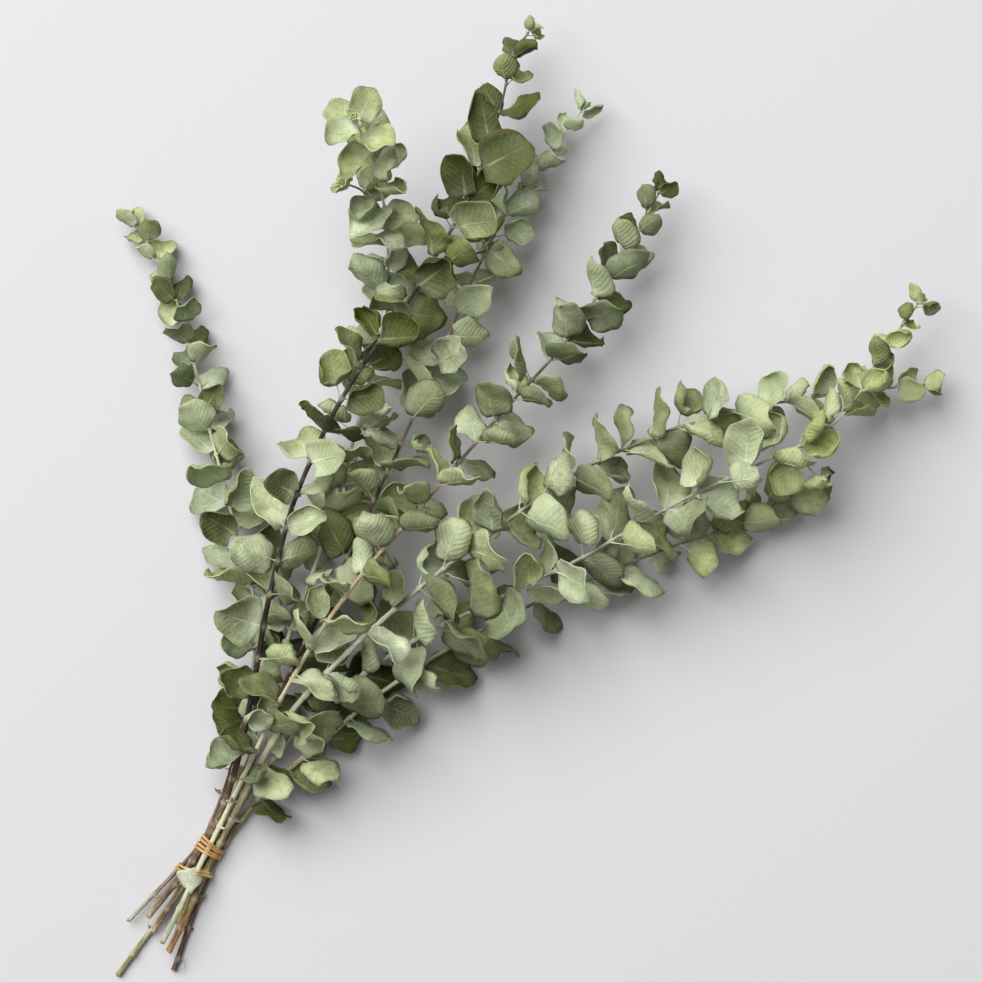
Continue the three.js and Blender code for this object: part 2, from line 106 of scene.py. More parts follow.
# The share of stripped leaves that left no stub, and how high above the floor a stub stays.
STUBLESS_SHARE, STUB_HEIGHT = 0.4, 0.8
# The share of stripped leaves that left a scrap, and how far from the cut end those begin.
SCRAP_SHARE = 0.5
SCRAPS_FROM = 28
# How far the two pairs of folded leaves at a tip lean, and their lengths.
BUDS = ((48, 7.5), (72, 5.0))


def rgb(red, green, blue):
    """A colour from its screen values, 0 to 255, as the linear one that materials take."""
    return tuple(
        c / 12.92 if c <= 0.04045 else ((c + 0.055) / 1.055) ** 2.4
        for c in (red / 255, green / 255, blue / 255)
    )


BARKS = {
    "grey": rgb(182, 178, 160),
    "green": rgb(178, 184, 152),
    "cream": rgb(212, 206, 176),
    "pale": rgb(222, 220, 200),
    "olive": rgb(160, 156, 104),
    "moss": rgb(142, 138, 104),
    "tan": rgb(198, 178, 142),
    "orange": rgb(176, 138, 88),
    "brown": rgb(124, 96, 74),
    "dark": rgb(58, 44, 40),
    "purple": rgb(106, 76, 68),
}


@dataclass
class Plan:
    """How one shoot or twig grows. Lists go from its foot to its tip.

    As on the frame's solids:
    route is the way from the band to the tip, or along the twig.
    cut is the cut end, and tie is where the shoot passes the band, across the bundle and up.
    thick and fine are its radii at the foot and the tip, and bare is the length with no leaves.
    pitch is the step between pairs, and leaf is the leaves' length.
    lean is how far leaves lean to the tip, turn is how far the first pair is turned, and facing is how far
    leaves turn their faces up or down.

    For the finish:
    tone goes from 0, dark, to 1, pale, and warmth from 0, grey green, to 1, yellow green. Beyond 0 or 1,
    chance changes fewer leaves.
    curl is how much further than elsewhere the leaves' edges roll over.
    bark names the bark's colours, which lie closer together towards the foot.
    fibre is how far from the cut end one has come loose."""

    route: list
    thick: float
    bare: float
    turn: float
    seed: int
    facing: float
    pitch: list
    leaf: list
    tone: list
    warmth: list
    bark: str
    lean: tuple = (20, 50)
    fine: float = 0.6
    curl: tuple = (0,)
    cut: tuple = None
    tie: tuple = None
    fibre: float = None
    twig: object = None


STEMS = {
    "leafy_stem_1": Plan(
        cut=(-45, -39, 6), tie=(-6, 2.85), thick=1.3, bare=104, turn=135, seed=1, facing=0.6,
        route=[
            (1.2, 15, 4.6), (9.5, 36, 8), (20.5, 79, 15), (27, 130, 19), (15, 180, 20), (2, 230, 20),
            (-10, 280, 16.9), (-24, 320, 13.1), (-41, 347, 12),
        ],
        pitch=[17, 17, 16, 14, 12, 12, 11], leaf=[20, 21, 23, 29, 27, 19, 18, 17, 12],
        tone=[0.6, 0.64, 0.62, 0.52, 0.45, 0.45, 0.7], warmth=[0.4, 0.45, 0.35, 0.3, 0.4, 0.6],
        bark="grey grey brown brown grey cream olive",
    ),
    "leafy_stem_2": Plan(
        cut=(-51, -70, 2.3), tie=(-2.4, 3.25), thick=1.7, bare=148, turn=30, seed=5, facing=0.45,
        route=[
            (14.3, 35, 6.3), (33, 87, 13), (62, 165, 22), (83, 235, 28), (98, 293, 36), (100, 335, 48),
            (97, 362, 66), (91, 382, 88), (85, 394, 110),
        ],
        pitch=[17, 17, 16, 14, 12, 11, 10], leaf=[22, 27, 28, 28, 26, 25, 25, 27, 25, 20], lean=(20, 14),
        tone=[0.5, 0.75, 1.05, 1.2, 1.2, 1.1], warmth=[0.3, 0.25, 0.3, 0.35, 0.4, 0.6],
        bark="olive olive cream cream cream pale pale",
        twig=Plan(
            thick=0.8, bare=14, turn=60, seed=60, facing=0.5,
            route=[(100, 335, 48), (96, 351, 58), (86, 361, 66), (78, 364, 70)],
            pitch=[8], leaf=[18, 16], lean=(30, 40),
            tone=[0.75, 0.9], warmth=[0.6, 0.6],
            bark="olive",
        ),
    ),
    "leafy_stem_3": Plan(
        cut=(-33, -36, 12), tie=(-4.4, 6.9), thick=2.1, bare=92, turn=45, seed=53, facing=0.7,
        route=[
            (11.6, 34, 14.5), (24.5, 82, 31), (34, 135, 43), (51, 197, 49), (78, 254, 53), (113, 304, 51),
            (145, 362, 45), (162, 410, 38), (169, 438, 35), (177, 450, 34),
        ],
        pitch=[18, 18, 19, 19, 18, 17, 14], leaf=[20, 26, 28, 27, 26, 27, 29, 33, 25, 11], lean=(20, 48),
        tone=[0.5, 0.58, 0.52, 0.28, 0.05, 0.0, 0.0, 0.2], warmth=[0.4, 0.45, 0.6, 0.8, 0.9, 0.9, 0.9],
        curl=[0.0, 0.0, 0.0, 0.1, 0.2, 0.4],
        bark="tan brown brown dark dark dark brown",
        twig=Plan(
            thick=0.8, bare=26, turn=0, seed=9, facing=0.7,
            route=[(113, 304, 51), (126, 317, 47), (141, 326, 44), (156, 331, 42)],
            pitch=[13], leaf=[22, 20], lean=(25, 40),
            tone=[0.1, 0.15], warmth=[0.8],
            bark="brown",
        ),
    ),
    "leafy_stem_4": Plan(
        cut=(-31, -45, 7.5), tie=(-0.5, 6.5), thick=1.5, bare=98, turn=120, seed=40, facing=0.5,
        route=[
            (18, 34, 9.6), (38, 82, 22), (76, 160, 32), (104, 218, 35), (127, 270, 33), (147, 317, 29),
            (170, 360, 25), (190, 388, 22), (206, 409, 21),
        ],
        pitch=[17, 17, 17, 16, 15, 14, 12], leaf=[22, 27, 28, 28, 27, 25, 22, 18, 13],
        tone=[0.5, 0.5, 0.6, 0.85, 1.3, 1.4], warmth=[0.35, 0.45, 0.45, 0.3, 0.05, 0.0],
        bark="tan brown olive brown dark brown cream",
    ),
    "leafy_stem_5": Plan(
        cut=(-25, -50, 17), tie=(-0.4, 9.9), thick=1.6, bare=104, turn=45, seed=72, facing=0.4,
        route=[
            (16.6, 35, 19), (43, 88, 38), (80, 146, 52), (124, 197, 52), (164, 244, 46), (201, 286, 39),
            (231, 333, 33), (249, 364, 31),
        ],
        pitch=[17, 17, 16, 15, 14, 13], leaf=[24, 27, 27, 26, 25, 23, 23, 24, 21, 12],
        tone=[0.55, 0.52, 0.5, 0.48, 0.3, -0.05], warmth=[0.4, 0.45, 0.6, 0.5, 0.35, 0.5],
        bark="green green cream cream tan purple grey",
    ),
    "leafy_stem_6": Plan(
        cut=(-18, -41, 3), tie=(1.4, 3.15), thick=1.6, bare=92, turn=45, seed=26, facing=0.45,
        route=[
            (23, 33, 6.8), (52, 70, 16), (106, 112, 26), (151, 136, 33), (210, 165, 40), (260, 194, 44),
            (304, 215, 46), (334, 229, 46), (354, 248, 44), (368, 272, 40), (389, 301, 36),
        ],
        pitch=[17, 17, 17, 17, 16, 15, 12], leaf=[23, 28, 30, 30, 29, 28, 27, 28, 20, 13],
        tone=[0.5, 0.55, 0.65, 0.78, 0.88, 0.88, 0.7], warmth=[0.2, 0.35, 0.4, 0.45, 0.65, 1.4],
        curl=[0.0, 0.0, 0.0, 0.1, 0.4, 0.7],
        bark="olive olive tan cream grey grey grey",
        twig=Plan(
            thick=0.8, bare=9, turn=120, seed=69, facing=0.7,
            route=[(319, 222, 46), (326, 215, 45), (332, 209, 43), (335, 205, 42)],
            pitch=[10], leaf=[24, 22], lean=(10, 30),
            tone=[0.55], warmth=[0.7], curl=[0.5],
            bark="grey",
        ),
    ),
    "leafy_stem_7": Plan(
        cut=(-22, -56, 9), tie=(3.5, 7.0), thick=2.1, bare=98, turn=135, seed=79, facing=0.4,
        route=[
            (22, 35, 15), (46, 77, 30), (92, 124, 43), (153, 174, 47), (216, 216, 42), (282, 241, 34),
            (332, 250, 27), (375, 256, 21), (396, 258, 19),
        ],
        pitch=[17, 17, 17, 16, 15, 15], leaf=[24, 29, 31, 31, 29, 27, 26, 25, 21, 12],
        tone=[0.5, 0.55, 0.63, 0.75, 0.85, 0.75], warmth=[0.2, 0.3, 0.35, 0.4, 0.5, 1.0],
        bark="orange orange olive cream grey moss grey",
    ),
    "leafy_stem_8": Plan(
        cut=(-20, -67, 2.4), tie=(5.2, 3.25), thick=1.7, bare=108, turn=45, seed=43, facing=0.55, fibre=8.5,
        route=[
            (29, 30.5, 7.4), (58, 56, 13), (98, 90, 19), (150, 122, 21), (197, 145, 21), (249, 166, 19.1),
            (290, 180, 21), (322, 200, 23.5),
        ],
        pitch=[17, 17, 17, 17, 16], leaf=[25, 30, 30, 29, 27, 25, 25, 22], lean=(20, 45),
        tone=[0.5, 0.55, 0.58, 0.65, 0.8, 0.85], warmth=[0.2, 0.35, 0.4, 0.45, 0.6],
        bark="purple purple brown olive cream moss moss",
    ),
}

# Each turn's place along the bundle, over the top and underneath, in millimetres from the band's middle, and
# how much further along it lies on its left.
BAND_TURNS = ((3.3, -1.0, 1.0), (-0.8, 1.0, 0.1), (-14.0, 0.2, -2.5))
# A strand starts as a ring of this radius round this height, and is drawn tight in so many rounds.
RING_RADIUS, RING_HEIGHT, TIGHTEN_ROUNDS = 16, 7, 1500
# The loosest strand stands off over about this angle.
SLACK_ANGLE = 0.45
# Flats round a strand, and how soft its corners are: 1 is round, and 0 is square.
STRAND_SIDES, CORNER = 12, 0.55
# The shoots are tied within this length of their cut ends.
TIED_LENGTH = 120
# Nothing stands out from the shoots between these places, because the band lies there.
UNDER_BAND = (-17, 8)


def limit(value, low=0, high=1):
    return min(max(value, low), high)


def between(values, share):
    """The value a share of the way along a list of numbers or colours."""
    place = limit(share) * (len(values) - 1)
    low = min(floor(place), max(len(values) - 2, 0))
    high = min(low + 1, len(values) - 1)
    first, second = np.array(values[low], float), np.array(values[high], float)
    return first + (second - first) * (place - low)


def draw(*keys):
    """A number from 0 to 1 that looks random and depends only on the whole numbers given, up to five."""
    total = 0
    for key, step in zip_longest(keys, (12.9898, 78.233, 37.719, 93.989, 54.117), fillvalue=0):
        total += (key + 1) * step
    x = sin(total) * 43758.5453
    return x - floor(x)


def unit(vector):
    return vector / np.linalg.norm(vector)


def unit_rows(vectors):
    return vectors / np.linalg.norm(vectors, axis=-1, keepdims=True)


def outward(lift, aside, turn):
    """The way out of a shoot at an angle round it."""
    return lift * cos(turn) + aside * sin(turn)


class Line:
    """A centripetal Catmull-Rom curve through points, with the places along it by length."""

    STEPS = 200
    NUDGE = 1e-4

    def __init__(self, points):
        points = np.array(points, float)
        before, after = 2 * points[0] - points[1], 2 * points[-1] - points[-2]
        self.points = np.vstack((before, points, after))
        self.shares = np.linspace(0, 1, self.STEPS + 1)
        places = np.array([self.place(share) for share in self.shares])
        steps = np.linalg.norm(np.diff(places, axis=0), axis=1)
        self.lengths = np.concatenate(([0], np.cumsum(steps)))
        self.length = self.lengths[-1]

    def place(self, share):
        spans = len(self.points) - 3
        span = min(int(share * spans), spans - 1)
        w = share * spans - span
        x = self.points[span : span + 4]
        d = np.linalg.norm(np.diff(x, axis=0), axis=1) ** 0.5
        enter = (x[1] - x[0]) / d[0] - (x[2] - x[0]) / (d[0] + d[1]) + (x[2] - x[1]) / d[1]
        leave = (x[2] - x[1]) / d[1] - (x[3] - x[1]) / (d[1] + d[2]) + (x[3] - x[2]) / d[2]
        enter, leave = enter * d[1], leave * d[1]
        square = -3 * x[1] + 3 * x[2] - 2 * enter - leave
        cube = 2 * x[1] - 2 * x[2] + enter + leave
        return x[1] + enter * w + square * w**2 + cube * w**3

    def at(self, length):
        """The point at a length from the start, the direction there, and two more at right angles to it."""
        share = np.interp(length, self.lengths, self.shares)
        ahead, behind = min(share + self.NUDGE, 1), max(share - self.NUDGE, 0)
        forward = unit(self.place(ahead) - self.place(behind))
        lift = unit(UP - forward * forward[2])
        return self.place(share), forward, lift, np.cross(forward, lift)


@dataclass
class Leaf:
    """A leaf, as the numbers that place, shape and colour it. along runs from its base to its tip, and face
    stands up from its upper side."""

    root: np.ndarray
    along: np.ndarray
    face: np.ndarray
    stalk: float
    length: float
    half: float
    egg: float
    cup: float
    fold: float
    bend: float
    twist: float
    wave: float
    phase: float
    tone: float
    warmth: float
    bloom: float
    age: float
    curl: float

    @property
    def wide(self):
        return np.cross(self.face, self.along)

    @property
    def wax(self):
        """How much bloom the leaf has. Dark leaves and yellow ones have less."""
        return self.bloom * limit(self.tone + 0.2) * limit(1.15 - 0.6 * self.warmth, 0.1)

    def point(self, t, y):
        """The middle surface, t of the way from base to tip and y from the midrib."""
        q = y / self.half
        cupped = self.cup * q
        bent = self.bend * t
        twisted = self.twist * (t - 0.3)
        wave = self.wave * q * q * np.sin(2 * pi * (WAVES * t + self.phase + 0.37 * (q < 0)))
        fold = self.fold * self.half * (np.sqrt(q * q + 0.01) - 0.1)
        across = self.half * np.sin(cupped) / self.cup
        height = self.half * (1 - np.cos(cupped)) / self.cup + fold + wave
        sideways = across * np.cos(twisted) - height * np.sin(twisted)
        raised = across * np.sin(twisted) + height * np.cos(twisted)
        reach = self.length * np.sin(bent) / self.bend - raised * np.sin(bent)
        rise = self.length * (1 - np.cos(bent)) / self.bend + raised * np.cos(bent)
        steps = np.multiply.outer
        out = steps(self.stalk + reach, self.along) + steps(sideways, self.wide) + steps(rise, self.face)
        return self.root + out

    def normal(self, t, y, step=0.01):
        along = self.point(t + step, y) - self.point(t - step, y)
        across = self.point(t, y + step) - self.point(t, y - step)
        return unit_rows(np.cross(along, across))


class Shoot:
    """A shoot or twig, with its line and the places of its leaf pairs."""

    def __init__(self, plan, number):
        self.plan = plan
        self.number = number
        points = list(plan.route)
        if plan.cut:
            across, up = plan.tie
            points = [plan.cut, ACROSS * across + UP * up, *points]
        self.line = Line(points)
        self.foot = np.linalg.norm(plan.cut) if plan.cut else 0
        self.pairs = self.pair_stops()
        self.leaves = []

    def pair_stops(self):
        leafy = self.line.length - TIP_LENGTH - self.plan.bare
        stops = [0]
        while (after := stops[-1] + between(self.plan.pitch, stops[-1] / leafy)) < leafy:
            stops.append(after)
        return [self.plan.bare + stop * leafy / stops[-1] for stop in stops]

    def radius(self, stop):
        share = limit((stop - self.foot) / (self.line.length - self.foot))
        return self.plan.fine + (self.plan.thick - self.plan.fine) * (1 - share) ** 0.9

    def girth(self, stop):
        """The radius of the round shoot."""
        return ROUND * self.radius(stop)

    def bare_knuckles(self):
        """Where leaves were stripped from the foot of a shoot."""
        pitch = self.plan.pitch[0]
        count = int((self.pairs[0] - FOOT_MARGIN) / pitch) if self.plan.cut else 0
        strays = [3 * draw(self.plan.seed, k, KNUCKLE_TRAIT) for k in range(count)]
        return [self.pairs[0] - pitch * (k + 1) + stray for k, stray in enumerate(strays)]

    def under_band(self, stop):
        low, high = UNDER_BAND
        return low < self.line.at(stop)[0] @ BUNDLE < high

    def pair_turn(self, pair):
        swing = 2 * draw(self.plan.seed, pair, 0, PAIR_TRAIT) - 1
        return self.plan.turn + PAIR_TURN * pair + TURN_SPREAD * swing

    def leaf(self, pair, side, attempt):
        """One try at a leaf. Each turns and curls it another way."""
        plan = self.plan

        def pick(trait):
            number = TRAITS.index(trait) if trait in TRAITS else trait
            return draw(plan.seed, pair, side, number, attempt)

        def swing(trait):
            return 2 * pick(trait) - 1

        stop = self.pairs[pair]
        share = (stop - plan.bare) / (self.line.length - plan.bare)
        point, forward, lift, aside = self.line.at(stop)
        effort = 1 + attempt / TRIES
        turn = radians(self.pair_turn(pair) + 180 * side + SIDE_SPREAD * effort * swing("turn"))
        low_lean, tip_lean = plan.lean
        lean = low_lean + (tip_lean - low_lean) * share**2 + LEAN_SPREAD * effort * swing("lean")
        lean = radians(lean)
        out = outward(lift, aside, turn)
        along = out * cos(lean) + forward * sin(lean)

        natural = forward * cos(lean) - out * sin(lean)
        flat = UP - along * along[2]
        facing = plan.facing * (0.4 + 1.2 * pick("facing"))
        face_up = 1 if natural[2] + 0.8 * swing("side_up") >= 0 else -1
        face = natural * (1 - min(facing, 0.95)) + flat * facing * face_up
        face = unit(face - along * face.dot(along))
        roll = radians(ROLL_SPREAD) * swing("roll")
        face = face * cos(roll) + np.cross(along, face) * sin(roll)

        shrink = SHRINK ** max(attempt - SHRINK_AFTER, 0)
        length = between(plan.leaf, share) * (0.9 + 0.2 * pick("length")) * shrink
        cupped = pick("cup_way") < CUPPED_SHARE
        # Painted shade for low leaves inside the bunch, and painted light for high ones, by their height.
        inside = limit(1.5 - 2.5 * share)
        height = point[2] + along[2] * length / 2
        painted_shade_and_light = inside * min(SHADE * (height - SHADED_HEIGHT), MOST_LIGHT)
        return Leaf(
            root=point + out * cos(pi / SIDES) * self.radius(stop),
            along=along,
            face=face,
            stalk=0.6 + 0.9 * pick("stalk"),
            length=length,
            half=0.5 * length * (0.8 + 0.28 * pick("width")),
            egg=-0.05 + 0.35 * pick("egg"),
            cup=0.15 + 0.75 * pick("cup") if cupped else -0.25 - 0.8 * pick("cup"),
            fold=0.02 + 0.3 * pick("fold") ** 2,
            bend=-0.75 + 1.3 * pick("bend"),
            twist=0.5 * swing("twist"),
            wave=length * (0.015 + 0.045 * pick("wave")),
            phase=pick("phase"),
            tone=between(plan.tone, share) + (0.5 + 0.2 * inside) * swing(TONE_TRAIT) + painted_shade_and_light,
            warmth=between(plan.warmth, share) + 0.4 * swing(WARMTH_TRAIT),
            bloom=pick(BLOOM_TRAIT),
            age=pick(AGE_TRAIT),
            curl=min(0.06 + 0.94 * pick(CURL_TRAIT) + between(plan.curl, share), 1),
        )

    def find_leaves(self, corners):
        """Keeps the tries that the frame's solid has, by the corner at each one's tip."""
        for pair in range(len(self.pairs)):
            for side in (0, 1):
                for attempt in range(TRIES):
                    leaf = self.leaf(pair, side, attempt)
                    tip = leaf.point(1.0, 0.0) + leaf.normal(1.0, 0.0) * SOLID_THICKNESS / 2
                    if corners.find(tip)[2] < MATCH:
                        self.leaves.append((pair, leaf))
                        break


def corners_of(node):
    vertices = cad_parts[node].data.vertices
    corners = KDTree(len(vertices))
    for vertex in vertices:
        corners.insert(vertex.co / MM, vertex.index)
    corners.balance()
    return corners


def grow(node, number):
    """The shoots of one leafy stem, the main one first."""
    plan = STEMS[node]
    corners = corners_of(node)
    shoots = [Shoot(plan, number)]
    if plan.twig:
        shoots.append(Shoot(plan.twig, number + 10))
    for shoot in shoots:
        shoot.find_leaves(corners)
    return shoots


SPRAYS = {node: grow(node, number) for number, node in enumerate(STEMS, 1)}


def length_property(name, description, millimetres):
    """A length that a user may change, in millimetres here and in metres in Blender."""
    return FloatProperty(
        name=name, description=description, default=millimetres * MM, unit="LENGTH", precision=5
    )


def share_property(name, description, default):
    return FloatProperty(
        name=name, description=description, default=default, min=0, max=1, subtype="FACTOR"
    )


def colour_property(name, description, *screen):
    return FloatVectorProperty(
        name=name, description=description, default=rgb(*screen), min=0, max=1, subtype="COLOR"
    )


class ShootSettings(PropertyGroup):
    """The woody parts: shoots, stalks and cut ends."""

    sides: IntProperty(name="Sides", description="Flats round a shoot", default=14, min=6)
    ring_step: length_property("Ring step", "Length between two rings of a shoot", 1.6)
    knuckle: share_property("Knuckle", "How much thicker a shoot is where leaves stand", 0.36)
    knuckle_length: length_property("Knuckle length", "Length of the thicker place", 1.5)
    wander: length_property("Wander", "How far a shoot strays from its even line", 0.25)
    stub: length_property("Stub", "Length of what is left of a stripped leaf's stalk", 2.0)
    stalk: colour_property("Stalk", "Leaf stalks and midribs", 198, 200, 168)
    wood: colour_property("Cut wood", "Wood in a cut end", 206, 186, 146)
    pith: colour_property("Pith", "Pith in the middle of a cut end", 150, 116, 78)
    bloom: colour_property("Bark bloom", "Wax on the bark", 202, 204, 182)
    # The old bark's tint also colours the painted shade streaks along the shoots.
    old_bark_and_shade: colour_property("Old bark", "Tint of the darker streaks in the bark", 122, 100, 82)
    scar: colour_property("Leaf scar", "Bark of the places where leaves stand or stood", 204, 198, 174)


class LeafSettings(PropertyGroup):
    """The leaf blades."""

    rows: IntProperty(name="Rows", description="Faces along a blade", default=8, min=4)
    columns: IntProperty(name="Columns", description="Faces across a blade", default=6, min=4)
    thickness: length_property("Blade thickness", "Thickness of a dry blade", 0.36)
    point: share_property("Point", "How far the tip is drawn out, as a share of the length", 0.05)
    lobes: share_property("Base lobes", "How far the base reaches back beside the stalk", 0.05)
    crinkle: share_property("Crinkle", "Height of the waves at the edge", 0.042)
    crumple: share_property("Crumple", "Height of the dents all over a blade", 0.019)
    ragged: share_property("Ragged outline", "How uneven a blade's outline is", 0.055)
    roll: FloatProperty(
        name="Rolled edge", description="How tightly a blade's edge rolls over", default=1.5, min=0
    )
    roll_start: share_property("Roll starts", "Where the roll starts, from the middle to the edge", 0.4)
    side_veins: IntProperty(
        name="Side veins", description="Veins on each side of the midrib", default=9, min=3
    )
    dark_grey: colour_property("Dark grey green", "Darkest leaf with a grey cast", 72, 86, 26)
    dark_olive: colour_property("Dark olive", "Darkest leaf with a yellow cast", 81, 91, 10)
    pale_grey: colour_property("Pale grey green", "Palest leaf with a grey cast", 211, 221, 184)
    pale_yellow: colour_property("Pale yellow green", "Palest leaf with a yellow cast", 199, 208, 127)
    bloom: colour_property("Bloom", "Wax on the blade", 188, 200, 170)
    base_wax: colour_property("Wax at the base", "Heavier wax near a blade's stalk", 214, 222, 201)
    under: colour_property("Underside", "Cast of a blade's underside", 176, 186, 142)
    vein: colour_property("Veins", "Veins and midrib", 206, 212, 180)
    rim: colour_property("Edge", "Dry edge of a blade", 166, 170, 130)
    burnt: colour_property("Burnt edge", "Brown of an old edge", 108, 78, 48)
    faded: colour_property("Faded leaf", "The dead leaf at the band", 208, 210, 188)
    withered: colour_property("Withered scrap", "What is left of stripped leaves", 150, 142, 116)


class BandSettings(PropertyGroup):
    """The elastic band."""

    strand_width: length_property("Strand width", "Width of one strand", 1.5)
    strand_thickness: length_property("Strand thickness", "Thickness of one strand", 1.05)
    spread: length_property("Spread", "Distance between the two strands of a turn", 1.75)
    slack: length_property("Slack", "How far the loosest strand stands off", 1.8)
    clearance: length_property("Clearance", "Gap between the band and the shoots", 0.12)
    steps: IntProperty(name="Steps", description="Rings in one turn", default=110, min=24)
    rubber: colour_property("Rubber", "Natural rubber", 176, 132, 76)
    dusty: colour_property("Dusty rubber", "Rubber where it is dry and pale", 206, 172, 118)


class StageSettings(PropertyGroup):
    """The floor, the light and the camera."""

    centre: FloatVectorProperty(
        name="Centre",
        description="The place on the floor that the camera looks straight down on",
        default=(156.2 * MM, 199.1 * MM),
        size=2,
        unit="LENGTH",
    )
    plane: length_property("Framed height", "Height at which the picture's width is measured", 22)
    width: length_property("Picture width", "Width that the picture takes in", 540)
    distance: length_property("Distance", "Distance from the camera to the framed height", 2000)
    floor: colour_property("Floor", "Pale floor", 201, 201, 203)
    sky: colour_property("Sky", "Light from all round", 240, 240, 242)
    sky_strength: FloatProperty(
        name="Sky strength", description="Strength of the light all round", default=0.27
    )
    key_power: FloatProperty(
        name="Key power", description="Power of the main light", default=505, unit="POWER"
    )


class Finish:
    """A material with its nodes, so that a finish reads as a few short lines."""

    def __init__(self, name):
        self.material = bpy.data.materials.new(name)
        self.material.use_nodes = True
        self.tree = self.material.node_tree
        self.shader = self.tree.nodes["Principled BSDF"].inputs
        self.place = self.node("TexCoord").outputs["Object"]

    def feed(self, socket, value):
        """Links a socket to another, or gives it a value. Colours from the settings are made opaque."""
        if isinstance(value, bpy.types.NodeSocket):
            self.tree.links.new(value, socket)
        elif value is not None:
            socket.default_value = (*value, 1) if socket.type == "RGBA" else value

    def feed_all(self, sockets, **values):
        """Feeds sockets by their names, with _ for each space."""
        for name, value in values.items():
            self.feed(sockets[name.replace("_", " ")], value)

    def node(self, kind, *values, **settings):
        new = self.tree.nodes.new("ShaderNode" + kind)
        for name, value in settings.items():
            setattr(new, name, value)
        for socket, value in zip(new.inputs, values):
            self.feed(socket, value)
        return new

    def attribute(self, name):
        return self.node("Attribute", attribute_name=name).outputs["Color"]

    def uv(self, name):
        return self.node("UVMap", uv_map=name).outputs[0]

    def math(self, operation, value, *others):
        """Works on one value, or on it and each of the others in turn."""
        for other in others or (None,):
            value = self.node("Math", value, other, operation=operation).outputs[0]
        return value

    def times(self, *values):
        return self.math("MULTIPLY", *values)

    def plus(self, *values):
        return self.math("ADD", *values)

    def minus(self, *values):
        return self.math("SUBTRACT", *values)

    def ramp(self, value, low, high, to=(0.0, 1.0)):
        """Changes smoothly from one number to another as the value goes from low to high."""
        new = self.node("MapRange", value, low, high, *to, interpolation_type="SMOOTHSTEP")
        return new.outputs[0]

    def noise(self, place, scale, detail=2.0, roughness=0.5):
        new = self.node("TexNoise")
        self.feed_all(new.inputs, Vector=place, Scale=scale, Detail=detail, Roughness=roughness)
        return new.outputs[0]

    def mix(self, amount, first, second, blend="MIX"):
        new = self.node("Mix", data_type="RGBA", blend_type=blend)
        for name, value in (("Factor_Float", amount), ("A_Color", first), ("B_Color", second)):
            socket = next(s for s in new.inputs if s.identifier == name)
            self.feed(socket, value)
        return new.outputs[2]

    def coat(self, base, *coats):
        """Lays coats over a base colour, each a colour and how much of it shows."""
        for colour, amount in coats:
            base = self.mix(amount, base, colour)
        return base

    def bump(self, height, strength, depth):
        """Raises the surface where height is large. depth is in millimetres."""
        new = self.node("Bump")
        self.feed_all(new.inputs, Strength=strength, Distance=depth * MM, Height=height)
        self.feed(self.shader["Normal"], new.outputs[0])

    def close(self, base, roughness, specular=0.3):
        self.feed_all(self.shader, Base_Color=base, Roughness=roughness, Specular_IOR_Level=specular)
        return self.material


